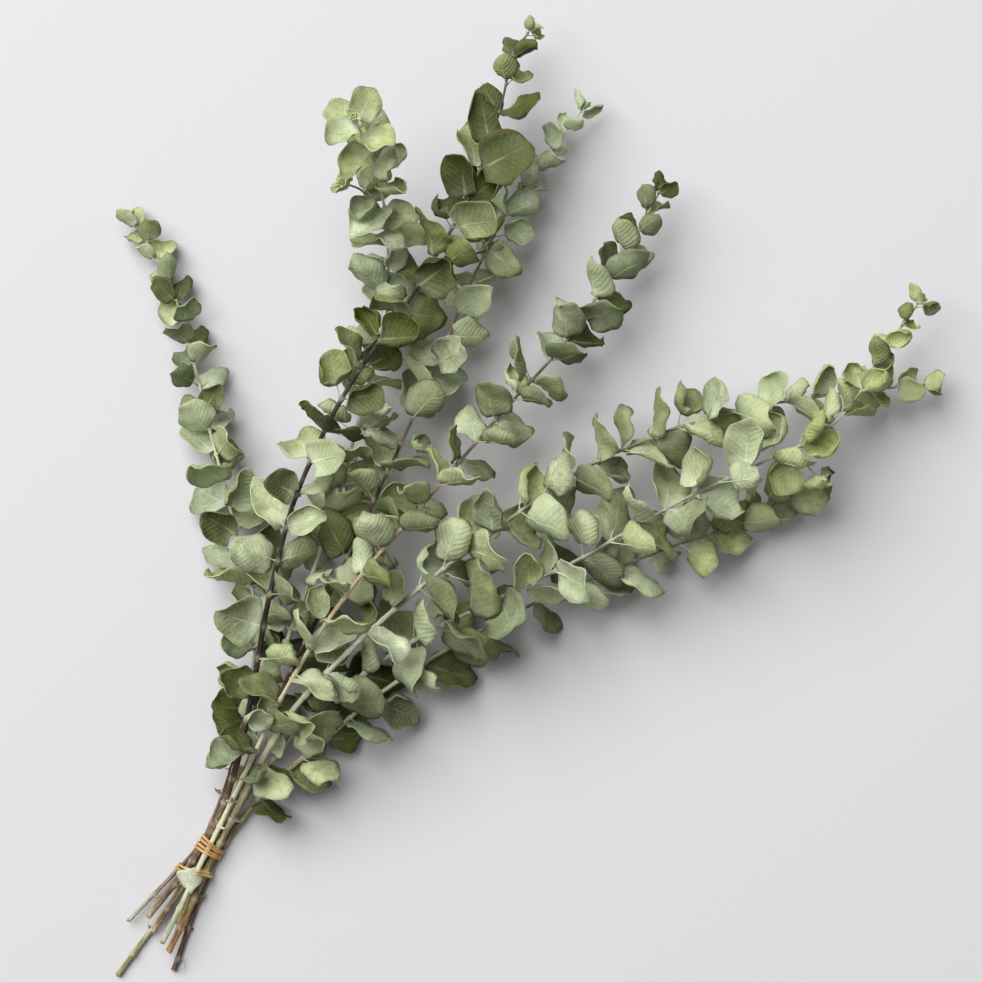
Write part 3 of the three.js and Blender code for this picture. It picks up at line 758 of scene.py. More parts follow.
def blade_finish(settings, under):
    """The upper side or the underside of a blade: midrib, side veins, a fine net, bloom and burnt edges. Its
    own colour comes with each leaf, and so do its bloom, its age and its own chance."""
    finish = Finish("leaf underside" if under else "leaf upper side")
    own = finish.attribute("leaf_colour")
    bloom, age, chance = finish.node("SeparateColor", finish.attribute("leaf_habit")).outputs[:3]
    uv = finish.uv("blade")
    along, side, _ = finish.node("SeparateXYZ", uv).outputs
    across = finish.times(finish.math("ABSOLUTE", finish.minus(side, 0.5)), 2.0)
    centred = finish.node("VectorMath", uv, (0.5, 0.5, 0.0), operation="DISTANCE").outputs[1]
    rim = finish.times(centred, 2.0)

    mottle = finish.noise(finish.place, 260.0, detail=3.0, roughness=0.6)
    blotch = finish.noise(finish.place, 75.0)
    grain = finish.noise(finish.place, 1100.0, roughness=0.6)
    warp = finish.times(finish.minus(mottle, 0.5), 0.05)
    slant = finish.times(across, 0.36)
    rank = finish.plus(finish.minus(along, slant), warp)
    beat = finish.math("FRACT", finish.times(rank, float(settings.side_veins)))
    ridge = finish.math("ABSOLUTE", finish.minus(finish.times(beat, 2.0), 1.0))
    clear = finish.times(finish.ramp(across, 0.02, 0.12), finish.ramp(rim, 0.98, 0.82))
    ribbed = finish.times(
        finish.ramp(chance, 0.1, 1.0, to=(0.1, 1.0)), finish.ramp(bloom, 0.0, 0.6, to=(0.2, 1.0))
    )
    side_vein = finish.times(finish.ramp(ridge, 0.66, 0.98), clear)
    rib = finish.times(ridge, clear, finish.ramp(chance, 0.0, 1.0, to=(0.35, 1.0)))
    slim = finish.times(finish.minus(1.1, along), 0.075)
    midrib = finish.times(
        finish.ramp(finish.math("DIVIDE", across, slim), 1.0, 0.45),
        finish.ramp(along, 1.0, 0.1, to=(0.25, 1.0)),
        finish.ramp(bloom, 0.0, 0.5, to=(0.35, 1.0)),
    )
    near_base = finish.times(finish.ramp(along, 0.5, 0.0), finish.ramp(bloom, 0.0, 0.6, to=(0.1, 1.0)))
    net = finish.node("TexVoronoi", feature="DISTANCE_TO_EDGE")
    finish.feed_all(net.inputs, Vector=finish.place, Scale=900.0)
    fine_net = finish.ramp(net.outputs["Distance"], 0.14, 0.02)
    waxy = finish.times(finish.ramp(blotch, 0.3, 0.75), bloom)
    worn = finish.ramp(finish.plus(rim, finish.times(blotch, 0.5)), 1.16, 1.3)
    old = finish.times(worn, finish.ramp(age, 0.55, 0.95))

    base = finish.coat(
        own,
        (BLACK, finish.ramp(mottle, 0.35, 0.75, to=(0.0, 0.3))),
        (BLACK, finish.ramp(grain, 0.4, 0.7, to=(0.0, 0.3))),
        (BLACK, finish.ramp(blotch, 0.42, 0.66, to=(0.3, 0.0))),
        # Darker towards the edge of every blade.
        (BLACK, finish.ramp(rim, 0.6, 1.0, to=(0.0, 0.28))),
        (settings.bloom, finish.times(waxy, 0.42)),
        (settings.base_wax, finish.times(near_base, 0.5)),
    )
    if under:
        base = finish.coat(base, (settings.under, finish.ramp(bloom, 0.0, 0.6, to=(0.08, 0.5))))
    base = finish.coat(
        base,
        (settings.vein, finish.times(fine_net, finish.ramp(bloom, 0.0, 0.6, to=(0.05, 0.25)))),
        (settings.vein, finish.times(side_vein, ribbed, 0.3)),
        (settings.vein, finish.times(midrib, 0.7 if under else 0.5)),
        (settings.burnt, finish.times(old, 0.6)),
    )
    height = finish.plus(
        finish.times(rib, 1.1 if under else -0.8),
        finish.times(midrib, 1.2 if under else -1.0),
        finish.times(fine_net, 0.15),
        finish.times(mottle, 0.9),
    )
    finish.bump(height, 0.55, 0.35)
    finish.feed_all(
        finish.shader,
        Subsurface_Weight=0.2,
        Subsurface_Radius=(0.7, 1.0, 0.25),
        Subsurface_Scale=0.8 * MM,
    )
    return finish.close(base, finish.ramp(waxy, 0.0, 0.8, to=(0.52, 0.8)), 0.14)


def rim_finish(settings):
    """The cut through a blade at its edge, dry and pale."""
    finish = Finish("leaf edge")
    mottle = finish.noise(finish.place, 400.0)
    amount = finish.ramp(mottle, 0.2, 0.9, to=(0.0, 0.5))
    finish.bump(mottle, 0.3, 0.1)
    return finish.close(finish.mix(amount, finish.attribute("leaf_colour"), settings.rim), 0.75)


def bark_finish(settings):
    """Smooth bark with fine fibres along it, specks, wax in patches, and painted shade: dark streaks along
    the shoots, in the old bark's brown, that stand in for their shaded sides. Its colour comes with each
    ring.
    """
    finish = Finish("eucalyptus bark")
    own = finish.attribute("bark_colour")
    stretched = finish.node("Mapping", finish.uv("bark_uv"), None, None, (0.06, 2.2, 1.0)).outputs[0]
    fibre = finish.noise(stretched, 9.0, detail=4.0, roughness=0.65)
    # Painted shade: this noise lays dark streaks round and along the shoot that stand in for its shaded side.
    side = finish.noise(stretched, 2.6)
    patch = finish.noise(finish.place, 55.0, detail=3.0, roughness=0.55)
    speck = finish.noise(finish.place, 620.0)
    bare = finish.ramp(finish.node("RGBToBW", own).outputs[0], 0.7, 0.3, to=(0.2, 1.0))
    brown = finish.mix(finish.times(bare, 0.9), own, settings.old_bark_and_shade, "MULTIPLY")
    waxy = finish.times(
        finish.ramp(patch, 0.52, 0.68, to=(0.0, 0.45)), finish.ramp(bare, 1.0, 0.2, to=(0.2, 1.0))
    )
    base = finish.coat(
        own,
        # Painted shade streaks along the shoot.
        (brown, finish.ramp(side, 0.45, 0.62, to=(0.0, 0.8))),
        (brown, finish.ramp(fibre, 0.42, 0.7, to=(0.0, 0.6))),
        (settings.bloom, waxy),
        (brown, finish.ramp(speck, 0.62, 0.72, to=(0.0, 0.8))),
    )
    finish.bump(finish.plus(fibre, finish.times(speck, 0.5)), 0.8, 0.4)
    return finish.close(base, finish.ramp(patch, 0.4, 0.75, to=(0.55, 0.85)), 0.35)


def wood_finish(settings):
    """The face of a cut end: pale wood with rays."""
    finish = Finish("cut wood")
    grain = finish.noise(finish.place, 1500.0, detail=3.0, roughness=0.7)
    finish.bump(grain, 0.5, 0.2)
    rays = finish.ramp(grain, 0.35, 0.7, to=(0.0, 0.5))
    return finish.close(finish.mix(rays, settings.wood, settings.pith), 0.85)


def pith_finish(settings):
    finish = Finish("pith")
    grain = finish.noise(finish.place, 2500.0)
    finish.bump(grain, 0.4, 0.15)
    pale = finish.ramp(grain, 0.3, 0.7, to=(0.0, 0.5))
    return finish.close(finish.mix(pale, settings.pith, settings.wood), 0.9)


def stalk_finish(settings):
    """Leaf stalks and raised midribs, browner in places. Their colour comes with each leaf."""
    finish = Finish("leaf stalk")
    finish.bump(finish.noise(finish.place, 900.0, detail=3.0), 0.4, 0.12)
    brown = finish.ramp(finish.noise(finish.place, 130.0), 0.45, 0.75, to=(0.0, 0.45))
    return finish.close(finish.mix(brown, finish.attribute("bark_colour"), settings.pith), 0.65)


def rubber_finish(settings):
    """Natural rubber: dull, and dusty where it is stretched."""
    finish = Finish("natural rubber")
    dust = finish.noise(finish.place, 160.0, detail=3.0, roughness=0.6)
    grain = finish.noise(finish.place, 1400.0, roughness=0.6)
    finish.bump(finish.plus(grain, dust), 0.35, 0.12)
    base = finish.mix(finish.ramp(dust, 0.35, 0.7), settings.rubber, settings.dusty)
    return finish.close(base, finish.ramp(dust, 0.3, 0.7, to=(0.5, 0.7)), 0.4)


def floor_finish(settings):
    finish = Finish("floor")
    finish.bump(finish.noise(finish.place, 300.0, detail=4.0), 0.05, 0.2)
    return finish.close(settings.floor, 0.85, 0.2)


def add_object(name, data):
    made = bpy.data.objects.new(name, data)
    bpy.context.scene.collection.objects.link(made)
    return made


def add_mesh(name, mesh, materials):
    """Turns a finished mesh, with its place in it, into an object."""
    data = bpy.data.meshes.new(name)
    mesh.to_mesh(data)
    mesh.free()
    for material in materials:
        data.materials.append(material)
    return add_object(name, data)


def add_piece(name, mesh, materials):
    """Adds an object with the materials given, which rides with the frame."""
    piece = add_mesh(name, mesh, materials)
    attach(piece, "root")
    return piece


def faces_of(vertices):
    return {face for vertex in vertices for face in vertex.link_faces}


def roll_tube(mesh, rings, uv_layer, loop=False):
    """Rolls a grid into a tube through rings of points, in millimetres, and closes its ends, or joins them if
    the tube is a loop. Its UV map runs from ring to ring and round. Returns each vertex's ring."""
    steps, sides = len(rings) - (not loop), len(rings[0])
    made = bmesh.ops.create_grid(mesh, x_segments=steps, y_segments=sides, size=0.5)["verts"]
    places = {v: (round((v.co.x + 0.5) * steps), round((v.co.y + 0.5) * sides)) for v in made}
    for face in faces_of(made):
        face.smooth = True
        for corner in face.loops:
            ring, side = places[corner.vert]
            corner[uv_layer].uv = (ring, side / sides)
    for vertex, (ring, side) in places.items():
        vertex.co = rings[ring % len(rings)][side % sides] * MM
    kept = {place: vertex for vertex, place in places.items() if place[0] < len(rings) and place[1] < sides}
    ring_of = {vertex: ring for (ring, _), vertex in kept.items()}
    doubles = {
        vertex: kept[ring % len(rings), side % sides]
        for vertex, (ring, side) in places.items()
        if vertex not in ring_of
    }
    bmesh.ops.weld_verts(mesh, targetmap=doubles)
    if not loop:
        ends = {edge for vertex in ring_of for edge in vertex.link_edges if edge.is_boundary}
        bmesh.ops.holes_fill(mesh, edges=list(ends), sides=sides)
    return ring_of


def ring_round(centre, first, second, radii, turns):
    """Points round a centre, at angles that are given, with one radius for each."""
    return centre + np.outer(radii * np.cos(turns), first) + np.outer(radii * np.sin(turns), second)


class Template:
    """A small mesh that is copied into a larger one and then bent to shape."""

    def __init__(self, mesh):
        self.data = bpy.data.meshes.new("template")
        mesh.to_mesh(self.data)
        mesh.free()
        self.places = np.array([vertex.co for vertex in self.data.vertices])

    def copy_into(self, mesh, places):
        """Adds a copy with its vertices at the places given, in millimetres, and returns them. It works as
        long as nothing has been deleted from the mesh."""
        before = len(mesh.verts)
        mesh.from_mesh(self.data)
        mesh.verts.ensure_lookup_table()
        added = mesh.verts[before:]
        for vertex, place in zip(added, places * MM):
            vertex.co = place
        return added

    def remove(self):
        bpy.data.meshes.remove(self.data)


# A rod's rings lie one apart along Z, and its radius is 1.
ROD_RINGS = 6
ROD_SIDES = 6
# The radii of a large leaf's stalk and midrib, from ring to ring.
STALK_RADII = np.array((0.72, 0.48, 0.34, 0.22, 0.15, 0.07))


def straight_rod():
    mesh = bmesh.new()
    turns = np.linspace(0, 2 * pi, ROD_SIDES, endpoint=False)
    axes = np.eye(3)
    ring = ring_round(0, axes[0], axes[1], np.ones(ROD_SIDES), turns)
    rings = np.array([axes[2] * k + ring for k in range(ROD_RINGS)])
    roll_tube(mesh, rings / MM, mesh.loops.layers.uv.new("bark_uv"))
    return Template(mesh)


def bend_rod(mesh, rod, path, radii, side_way):
    """Adds a copy of the rod along a path of as many points as it has rings."""
    ring = np.rint(rod.places[:, 2]).astype(int)
    forward = unit_rows(np.gradient(path, axis=0))
    first = unit_rows(side_way - forward * (forward @ side_way)[:, None])
    second = np.cross(forward, first)
    wide = np.array(radii)[ring][:, None]
    places = path[ring] + wide * (rod.places[:, :1] * first[ring] + rod.places[:, 1:2] * second[ring])
    return rod.copy_into(mesh, places)


def stalk_path(leaf):
    """From inside the shoot along the stalk, then under the blade as its midrib."""
    under = np.array((0.0, 0.1, 0.17, 0.18, 0.17, 0.15))
    t = np.array((0.0, 0.0, 0.05, 0.25, 0.55, 0.85))
    blade = leaf.point(t, np.zeros(ROD_RINGS)) - leaf.normal(t, np.zeros(ROD_RINGS)) * under[:, None]
    blade[0] = leaf.root - leaf.along * 0.7
    blade[1] = leaf.root + leaf.along * leaf.stalk * 0.4
    return blade


class ShootBuilder:
    """Builds the shoot of one leafy stem, with its twig."""

    BARK, WOOD, PITH, STALK = range(4)
    # In a cut end, as shares of the shoot's radius.
    BARK_RIM, WOOD_RING, PITH_RIM, PITH_DEPTH = 0.14, 0.5, 0.05, 0.2

    def __init__(self, settings, leaf_settings, rod):
        self.settings = settings
        self.leaf_settings = leaf_settings
        self.rod = rod
        self.mesh = bmesh.new()
        self.colour = self.mesh.verts.layers.float_color.new("bark_colour")
        self.uv = self.mesh.loops.layers.uv.new("bark_uv")

    def add_tube(self, shoot):
        line, settings = shoot.line, self.settings
        stops = np.linspace(0, line.length, ceil(line.length * MM / settings.ring_step))
        turns = np.linspace(0, 2 * pi, settings.sides, endpoint=False)
        knuckles = np.array([*shoot.bare_knuckles(), *shoot.pairs])
        seed = shoot.number
        rings, colours = [], []
        for stop in stops:
            point, _, lift, aside = line.at(stop)
            point = point + lift * self.stray(stop, seed) + aside * self.stray(stop, seed + 0.5)
            swell = np.exp(-(((stop - knuckles) * MM / settings.knuckle_length) ** 2)).max()
            ribs = 1 + 0.05 * np.sin(3 * turns + seed + stop / 40)
            radii = shoot.girth(stop) * (1 + settings.knuckle * swell) * ribs
            rings.append(ring_round(point, lift, aside, radii, turns))
            bark = self.bark_at(shoot, stop)
            colours.append((*between((bark, settings.scar), 0.5 * swell), 1))
        if shoot.plan.cut:
            self.slant(shoot, rings, turns)
        ring_of = roll_tube(self.mesh, rings, self.uv)
        for vertex, ring in ring_of.items():
            vertex[self.colour] = colours[ring]
        if shoot.plan.cut:
            self.finish_cut(shoot, ring_of)

    def bark_at(self, shoot, stop):
        """The colours of the bark lie closer together towards the foot."""
        colours = [BARKS[name] for name in shoot.plan.bark.split()]
        return between(colours, (stop / shoot.line.length) ** 0.5)

    def stray(self, stop, phase):
        wave = sin(stop / 21 + 5 * phase) + 0.5 * sin(stop / 8.3 + 9 * phase)
        return self.settings.wander / MM * wave

    def slant(self, shoot, rings, turns):
        """The cut was made at a slant, so that it faces up a little."""
        _, forward, _, _ = shoot.line.at(0)
        way = radians(60) * (2 * draw(shoot.number, 1, CUT_TRAIT) - 1)
        steep = 0.45 + 0.35 * draw(shoot.number, 2, CUT_TRAIT)
        rings[0] = rings[0] + np.outer(steep * shoot.girth(0) * np.cos(turns - way), forward)

    def finish_cut(self, shoot, ring_of):
        """The cut end has a rim of bark, a ring of wood and a sunken pith."""
        first = {vertex for vertex, ring in ring_of.items() if ring == 0}
        end = next(f for v in first for f in v.link_faces if set(f.verts) == first)
        radius = shoot.girth(0) * MM
        inset = bmesh.ops.inset_individual
        inset(self.mesh, faces=[end], thickness=self.BARK_RIM * radius)
        end.material_index = self.WOOD
        wood = inset(self.mesh, faces=[end], thickness=self.WOOD_RING * radius)["faces"]
        for face in wood:
            face.material_index = self.WOOD
            face.smooth = False
        inset(self.mesh, faces=[end], thickness=self.PITH_RIM * radius, depth=-self.PITH_DEPTH * radius)
        end.material_index = self.PITH

    def add_rod(self, path, radii, side_way, colour):
        vertices = bend_rod(self.mesh, self.rod, path, radii, side_way)
        for vertex in vertices:
            vertex[self.colour] = (*colour, 1)
        return vertices

    def add_stalks(self, shoot):
        for _, leaf in shoot.leaves:
            radii = STALK_RADII * (0.55 + 0.45 * leaf.length / 28)
            tint = leaf_tint(leaf, self.leaf_settings)[:3]
            colour = between((tint, self.settings.stalk), 0.1 + 0.6 * leaf.wax)
            vertices = self.add_rod(stalk_path(leaf), radii, leaf.face, colour)
            for face in faces_of(vertices):
                face.material_index = self.STALK

    def add_stubs(self, shoot):
        """What is left of the stalks of stripped leaves."""
        for k, stop in enumerate(shoot.bare_knuckles()):
            for side in (0, 1):
                if shoot.under_band(stop) or draw(shoot.number, k, side, STUB_TRAIT) < STUBLESS_SHARE:
                    continue
                point, forward, lift, aside = shoot.line.at(stop)
                out = outward(lift, aside, radians(shoot.pair_turn(k + 1) + 180 * side))
                reach = self.settings.stub / MM * (0.5 + draw(shoot.number, k, side, STUB_LENGTH_TRAIT))
                steps = np.linspace(-0.5, reach, ROD_RINGS)
                path = point + np.outer(shoot.girth(stop) + steps, out)
                path += np.outer(steps * steps * 0.12, forward)
                if path[:, 2].min() > STUB_HEIGHT:
                    self.add_rod(path, np.linspace(0.95, 0.5, ROD_RINGS), forward, self.bark_at(shoot, stop))

    def add_fibre(self, shoot):
        """A fibre that has come loose beside a cut end and curls back to it."""
        stops = shoot.plan.fibre * np.array((1.0, 0.86, 0.66, 0.44, 0.26, 0.14))
        away = np.array((-0.3, 1.7, 3.0, 3.4, 2.9, 1.9))
        path = []
        for stop, out in zip(stops, away):
            point, _, lift, aside = shoot.line.at(stop)
            path.append(point + aside * (shoot.girth(stop) + out) + lift * 0.2 * out)
        self.add_rod(np.array(path), np.linspace(0.36, 0.2, ROD_RINGS), UP, BARKS["tan"])

    def close(self, name, node, materials):
        bmesh.ops.recalc_face_normals(self.mesh, faces=self.mesh.faces)
        return add_piece(name, self.mesh, materials)


def flat_blade(settings):
    """A flat round blade of radius 1 that lies along X. Its UV map runs along and across it."""
    mesh = bmesh.new()
    uv = mesh.loops.layers.uv.new("blade")
    bmesh.ops.create_grid(mesh, x_segments=settings.rows, y_segments=settings.columns, size=1)
    for vertex in mesh.verts:
        x, y = (np.sign(c) * (1 - (1 - abs(c)) ** 1.2) for c in vertex.co[:2])
        vertex.co = (x * (1 - y * y / 2) ** 0.5, y * (1 - x * x / 2) ** 0.5, 0)
    for face in mesh.faces:
        face.smooth = True
        for corner in face.loops:
            corner[uv].uv = (0.5 + corner.vert.co.x / 2, 0.5 + corner.vert.co.y / 2)
    return Template(mesh)


def blade_places(leaf, x, y, settings):
    """Where the points of the flat round blade go on a leaf, in millimetres. A dry blade's edge rolls over
    the way the blade is cupped, further on one side than on the other."""
    rim, angle = np.hypot(x, y), np.arctan2(y, x)
    uneven = 1 + 0.8 * np.sin(angle + 2 * pi * leaf.phase)
    tight = settings.roll * (0.08 + 1.9 * leaf.curl**3) * uneven
    over = np.clip(rim - settings.roll_start, 0, 1)
    reach = rim - over + np.sin(tight * over) / tight
    drop = leaf.half * (1 - np.cos(tight * over)) / tight
    waves = np.sin(3 * angle + 5 * leaf.phase) + 0.7 * np.sin(5 * angle + 2 * pi * leaf.phase)
    dents = np.sin(7 * x + 3 * y + 20 * leaf.phase) + np.sin(8 * y - 4 * x + 20 * leaf.curl)
    lift = leaf.length * (settings.crinkle * waves * rim**3 + settings.crumple * dents)
    lift += drop * np.sign(leaf.cup)

    ragged = np.sin(2 * angle + 7 * leaf.phase) + 0.8 * np.sin(5 * angle + 11 * leaf.curl)
    ragged += 0.8 * np.sin(3 * angle + 13 * leaf.age)
    shrink = reach / np.maximum(rim, 1e-6) * (1 + settings.ragged * rim**2 * ragged)
    x, y = x * shrink, y * shrink
    t = (1 + x) / 2
    breadth = leaf.half * (1 + leaf.egg * (1 - 2 * t)) * y
    to_tip = np.clip((x - 0.75) / 0.25, 0, 1) ** 2 * np.clip(1 - 2 * np.abs(y), 0, 1)
    to_lobe = np.clip(-x, 0, 1) * np.exp(-(((np.abs(y) - 0.5) / 0.22) ** 2))
    t = t + settings.point * to_tip - settings.lobes * to_lobe
    places = leaf.point(t, breadth) + leaf.normal(t, breadth) * lift[:, None]
    places[:, 2] = np.maximum(places[:, 2], settings.thickness / MM)
    return places


def leaf_tint(leaf, settings):
    """The leaf's own colour, from its tone and warmth."""
    dark = between((settings.dark_grey, settings.dark_olive), leaf.warmth)
    pale = between((settings.pale_grey, settings.pale_yellow), leaf.warmth)
    return (*between((dark, pale), leaf.tone), 1)


def bud_leaves(shoot):
    """The youngest leaves, still folded together at the tip of a shoot."""
    last_pair, last = shoot.leaves[-1] if shoot.leaves else (0, shoot.leaf(0, 0, 0))
    point, forward, lift, aside = shoot.line.at(shoot.line.length)
    buds = []
    for k in range(4):
        lean, length = BUDS[k // 2]
        out = outward(lift, aside, radians(shoot.pair_turn(last_pair) + 90 + 90 * (k // 2) + 180 * k))
        lean = radians(lean + 14 * draw(shoot.number, k, BUD_LEAN_TRAIT))
        length = length * (0.85 + 0.3 * draw(shoot.number, k, BUD_LENGTH_TRAIT))
        bud = replace(
            last, root=point + out * 0.4, along=out * cos(lean) + forward * sin(lean),
            face=unit(forward * cos(lean) - out * sin(lean)), stalk=0.3, length=length, half=0.34 * length,
            cup=0.9, fold=0.5, bend=-0.4, wave=0.02 * length, twist=0.2, tone=last.tone + 0.25, bloom=0.8,
            curl=0.15,
        )
        buds.append(bud)
    return buds


def scraps(shoot):
    """Torn, withered remains of the leaves that were stripped from the foot of a shoot."""
    found = []
    for k, stop in enumerate(shoot.bare_knuckles()):
        if stop < SCRAPS_FROM or shoot.under_band(stop):
            continue
        for side in (0, 1):
            if draw(shoot.number, k, side, SCRAP_TRAIT) > SCRAP_SHARE:
                continue
            point, forward, lift, aside = shoot.line.at(stop)
            out = outward(lift, aside, radians(shoot.pair_turn(k + 1) + 180 * side + 30))
            along = unit(out + forward * (draw(shoot.number, k, side, SCRAP_LEAN_TRAIT) - 0.2))
            length = 3.0 + 2.5 * draw(shoot.number, k, side, SCRAP_LENGTH_TRAIT)
            scrap = replace(
                shoot.leaf(k, side, 0), root=point + out * shoot.girth(stop) * 0.8, along=along,
                face=unit(np.cross(along, np.cross(forward, along))), stalk=0.0, length=length,
                half=0.3 * length, egg=0.5, cup=1.4, fold=0.4, bend=1.1, twist=0.9, wave=0.12 * length,
                bloom=0.5, age=1.0,
            )
            if scrap.point(1.0, 0.0)[2] > 1:
                found.append(scrap)
    return found


def leaf_finishes(settings):
    """The finishes of a blade's upper side, its underside and its edge, made once."""
    names = ("leaf upper side", "leaf underside", "leaf edge")
    if names[0] not in bpy.data.materials:
        blade_finish(settings, under=False)
        blade_finish(settings, under=True)
        rim_finish(settings)
    return [bpy.data.materials[name] for name in names]


class BladeBuilder:
    """Builds one piece of thin blades."""

    def __init__(self, settings, blade):
        self.settings = settings
        self.blade = blade
        self.mesh = bmesh.new()
        self.mesh.loops.layers.uv.new("blade")
        colours = self.mesh.verts.layers.float_color
        self.colour, self.habit = colours.new("leaf_colour"), colours.new("leaf_habit")

    def add(self, leaf, tint=None):
        x, y, _ = self.blade.places.T
        places = blade_places(leaf, x, y, self.settings)
        tint = (*tint, 1) if tint else leaf_tint(leaf, self.settings)
        for vertex in self.blade.copy_into(self.mesh, places):
            vertex[self.colour] = tint
            vertex[self.habit] = (leaf.wax, leaf.age, leaf.curl, 1)

    def close(self, name, node):
        """Gives the blades their thickness, with the underside and the edge in their own finishes."""
        piece = add_piece(name, self.mesh, leaf_finishes(self.settings))
        wall = piece.modifiers.new("Thickness", "SOLIDIFY")
        wall.thickness = self.settings.thickness
        wall.offset = 0
        wall.material_offset = 1
        wall.material_offset_rim = 2
        return piece


def crossing_tables():
    """For each main shoot near the band: its places along the bundle, across it and up, and its radii."""
    tables = []
    for shoot, *_ in SPRAYS.values():
        stops = np.arange(0, TIED_LENGTH, 1.0)
        ways = [shoot.line.at(stop) for stop in stops]
        points = np.array([point for point, *_ in ways])
        steep = np.array([forward @ BUNDLE for _, forward, *_ in ways])
        radii = np.array([shoot.girth(stop) for stop in stops]) / steep
        tables.append((points @ BUNDLE, points @ ACROSS, points[:, 2], radii))
    return tables


def strand_path(tables, over, under, tilt, shift, slack, settings):
    """The middle of one strand, which is laid round the shoots in a wide ring and then drawn tight. It passes
    one place along the bundle over the top and down both sides, and another underneath. slack is how far it
    stands off on its right."""
    gap = settings.clearance / MM + settings.strand_thickness / MM / 2
    angles = np.linspace(-pi / 2, 1.5 * pi, settings.steps, endpoint=False)
    loose = slack * np.exp(-((angles / SLACK_ANGLE) ** 2))
    path = RING_RADIUS * np.column_stack((np.cos(angles), np.sin(angles))) + (0, RING_HEIGHT)
    for _ in range(TIGHTEN_ROUNDS):
        lengths = np.linalg.norm(np.roll(path, -1, axis=0) - path, axis=1)
        share = (np.cumsum(lengths) - lengths) / lengths.sum()
        risen = np.clip((1 - np.cos(2 * pi * share)) / 0.5, 0, 1)
        place = under + (over - under) * risen**2 * (3 - 2 * risen)
        place += shift * (1 - 0.3 * np.cos(angles)) - tilt * np.cos(angles)
        path = (np.roll(path, 1, axis=0) + np.roll(path, -1, axis=0)) / 2
        for along, *circle in tables:
            across, up, radius = (np.interp(place, along, values) for values in circle)
            away = path - np.column_stack((across, up))
            distance = np.linalg.norm(away, axis=1)
            push = np.maximum((radius + gap + loose) / distance, 1)
            path = path + away * (push - 1)[:, None]
        path[:, 1] = np.maximum(path[:, 1], gap)
    across, up = path.T
    return np.outer(across, ACROSS) + np.outer(place, BUNDLE) + np.outer(up, UP)


def strand_rings(path, settings):
    """Flat rings with soft corners along a strand."""
    thick, wide = settings.strand_thickness / MM, settings.strand_width / MM
    path[:, 2] = np.maximum(path[:, 2], thick / 2)
    forward = unit_rows(np.roll(path, -1, axis=0) - np.roll(path, 1, axis=0))
    out = unit_rows(np.cross(BUNDLE, forward))
    side = np.cross(forward, out)
    turns = np.linspace(0, 2 * pi, STRAND_SIDES, endpoint=False)
    square, edge = (np.sign(wave) * np.abs(wave) ** CORNER for wave in (np.cos(turns), np.sin(turns)))
    return [
        point + np.outer(square * wide / 2, s) + np.outer(edge * thick / 2, o)
        for point, s, o in zip(path, side, out)
    ]


class BUNCH_OT_add_shoots(Operator):
    """Add the shoots, with their knuckles, leaf stalks, stubs and cut ends"""

    bl_idname = "bunch.add_shoots"
    bl_label = "Add shoots"

    def execute(self, context):
        settings = context.scene.bunch_shoots
        materials = [make(settings) for make in (bark_finish, wood_finish, pith_finish, stalk_finish)]
        rod = straight_rod()
        for node, shoots in SPRAYS.items():
            builder = ShootBuilder(settings, context.scene.bunch_leaves, rod)
            for shoot in shoots:
                builder.add_stalks(shoot)
                builder.add_stubs(shoot)
                if shoot.plan.fibre:
                    builder.add_fibre(shoot)
            for shoot in shoots:
                builder.add_tube(shoot)
            piece = builder.close(node + "_shoot", node, materials)
            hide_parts(node)
        rod.remove()
        return {"FINISHED"}


class BUNCH_OT_add_leaves(Operator):
    """Add the leaf blades of every shoot, and the folded young leaves at its tip"""

    bl_idname = "bunch.add_leaves"
    bl_label = "Add leaves"

    def execute(self, context):
        settings = context.scene.bunch_leaves
        blade = flat_blade(settings)
        for node, shoots in SPRAYS.items():
            builder = BladeBuilder(settings, blade)
            for shoot in shoots:
                for leaf in [leaf for _, leaf in shoot.leaves] + bud_leaves(shoot):
                    builder.add(leaf)
                for leaf in scraps(shoot):
                    builder.add(leaf, settings.withered)
            piece = builder.close(node + "_leaves", node)
            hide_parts(node)
        blade.remove()
        return {"FINISHED"}


class BUNCH_OT_add_caught_leaf(Operator):
    """Add the small dead leaf that is caught under the band"""

    bl_idname = "bunch.add_caught_leaf"
    bl_label = "Add caught leaf"

    def execute(self, context):
        settings = context.scene.bunch_leaves
        along = unit(np.array((0.16, -0.98, -0.1)))
        leaf = replace(
            SPRAYS["leafy_stem_5"][0].leaf(3, 0, 0),
            root=np.array((-11.0, -9.6, 14.4)), along=along, face=unit(UP - along * along[2]), stalk=0.3,
            length=12.8, half=7.0, egg=0.62, cup=-0.35, fold=-0.5, bend=0.3, twist=0.2, wave=0.3,
            tone=1.0, warmth=0.1, bloom=1.0, age=0.3, curl=0.1,
        )
        blade = flat_blade(settings)
        builder = BladeBuilder(settings, blade)
        builder.add(leaf, settings.faded)
        builder.close("caught_leaf", "leafy_stem_2")
        blade.remove()
        return {"FINISHED"}


class BUNCH_OT_add_band(Operator):
    """Wind the elastic band round the shoots, two strands side by side in each turn"""

    bl_idname = "bunch.add_band"
    bl_label = "Add elastic band"

    def execute(self, context):
        settings = context.scene.bunch_band
        mesh = bmesh.new()
        uv_layer = mesh.loops.layers.uv.new("band_uv")
        tables = crossing_tables()
        spread, slack = settings.spread / MM, settings.slack / MM
        for number, (over, under, tilt) in enumerate(BAND_TURNS):
            for shift in (-spread / 2, spread / 2):
                loose = slack if number == len(BAND_TURNS) - 1 and shift < 0 else 0
                path = strand_path(tables, over, under, tilt, shift, loose, settings)
                roll_tube(mesh, strand_rings(path, settings), uv_layer, loop=True)
        bmesh.ops.recalc_face_normals(mesh, faces=mesh.faces)
        piece = add_piece("band_strands", mesh, [rubber_finish(settings)])
        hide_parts("elastic_band")
        return {"FINISHED"}


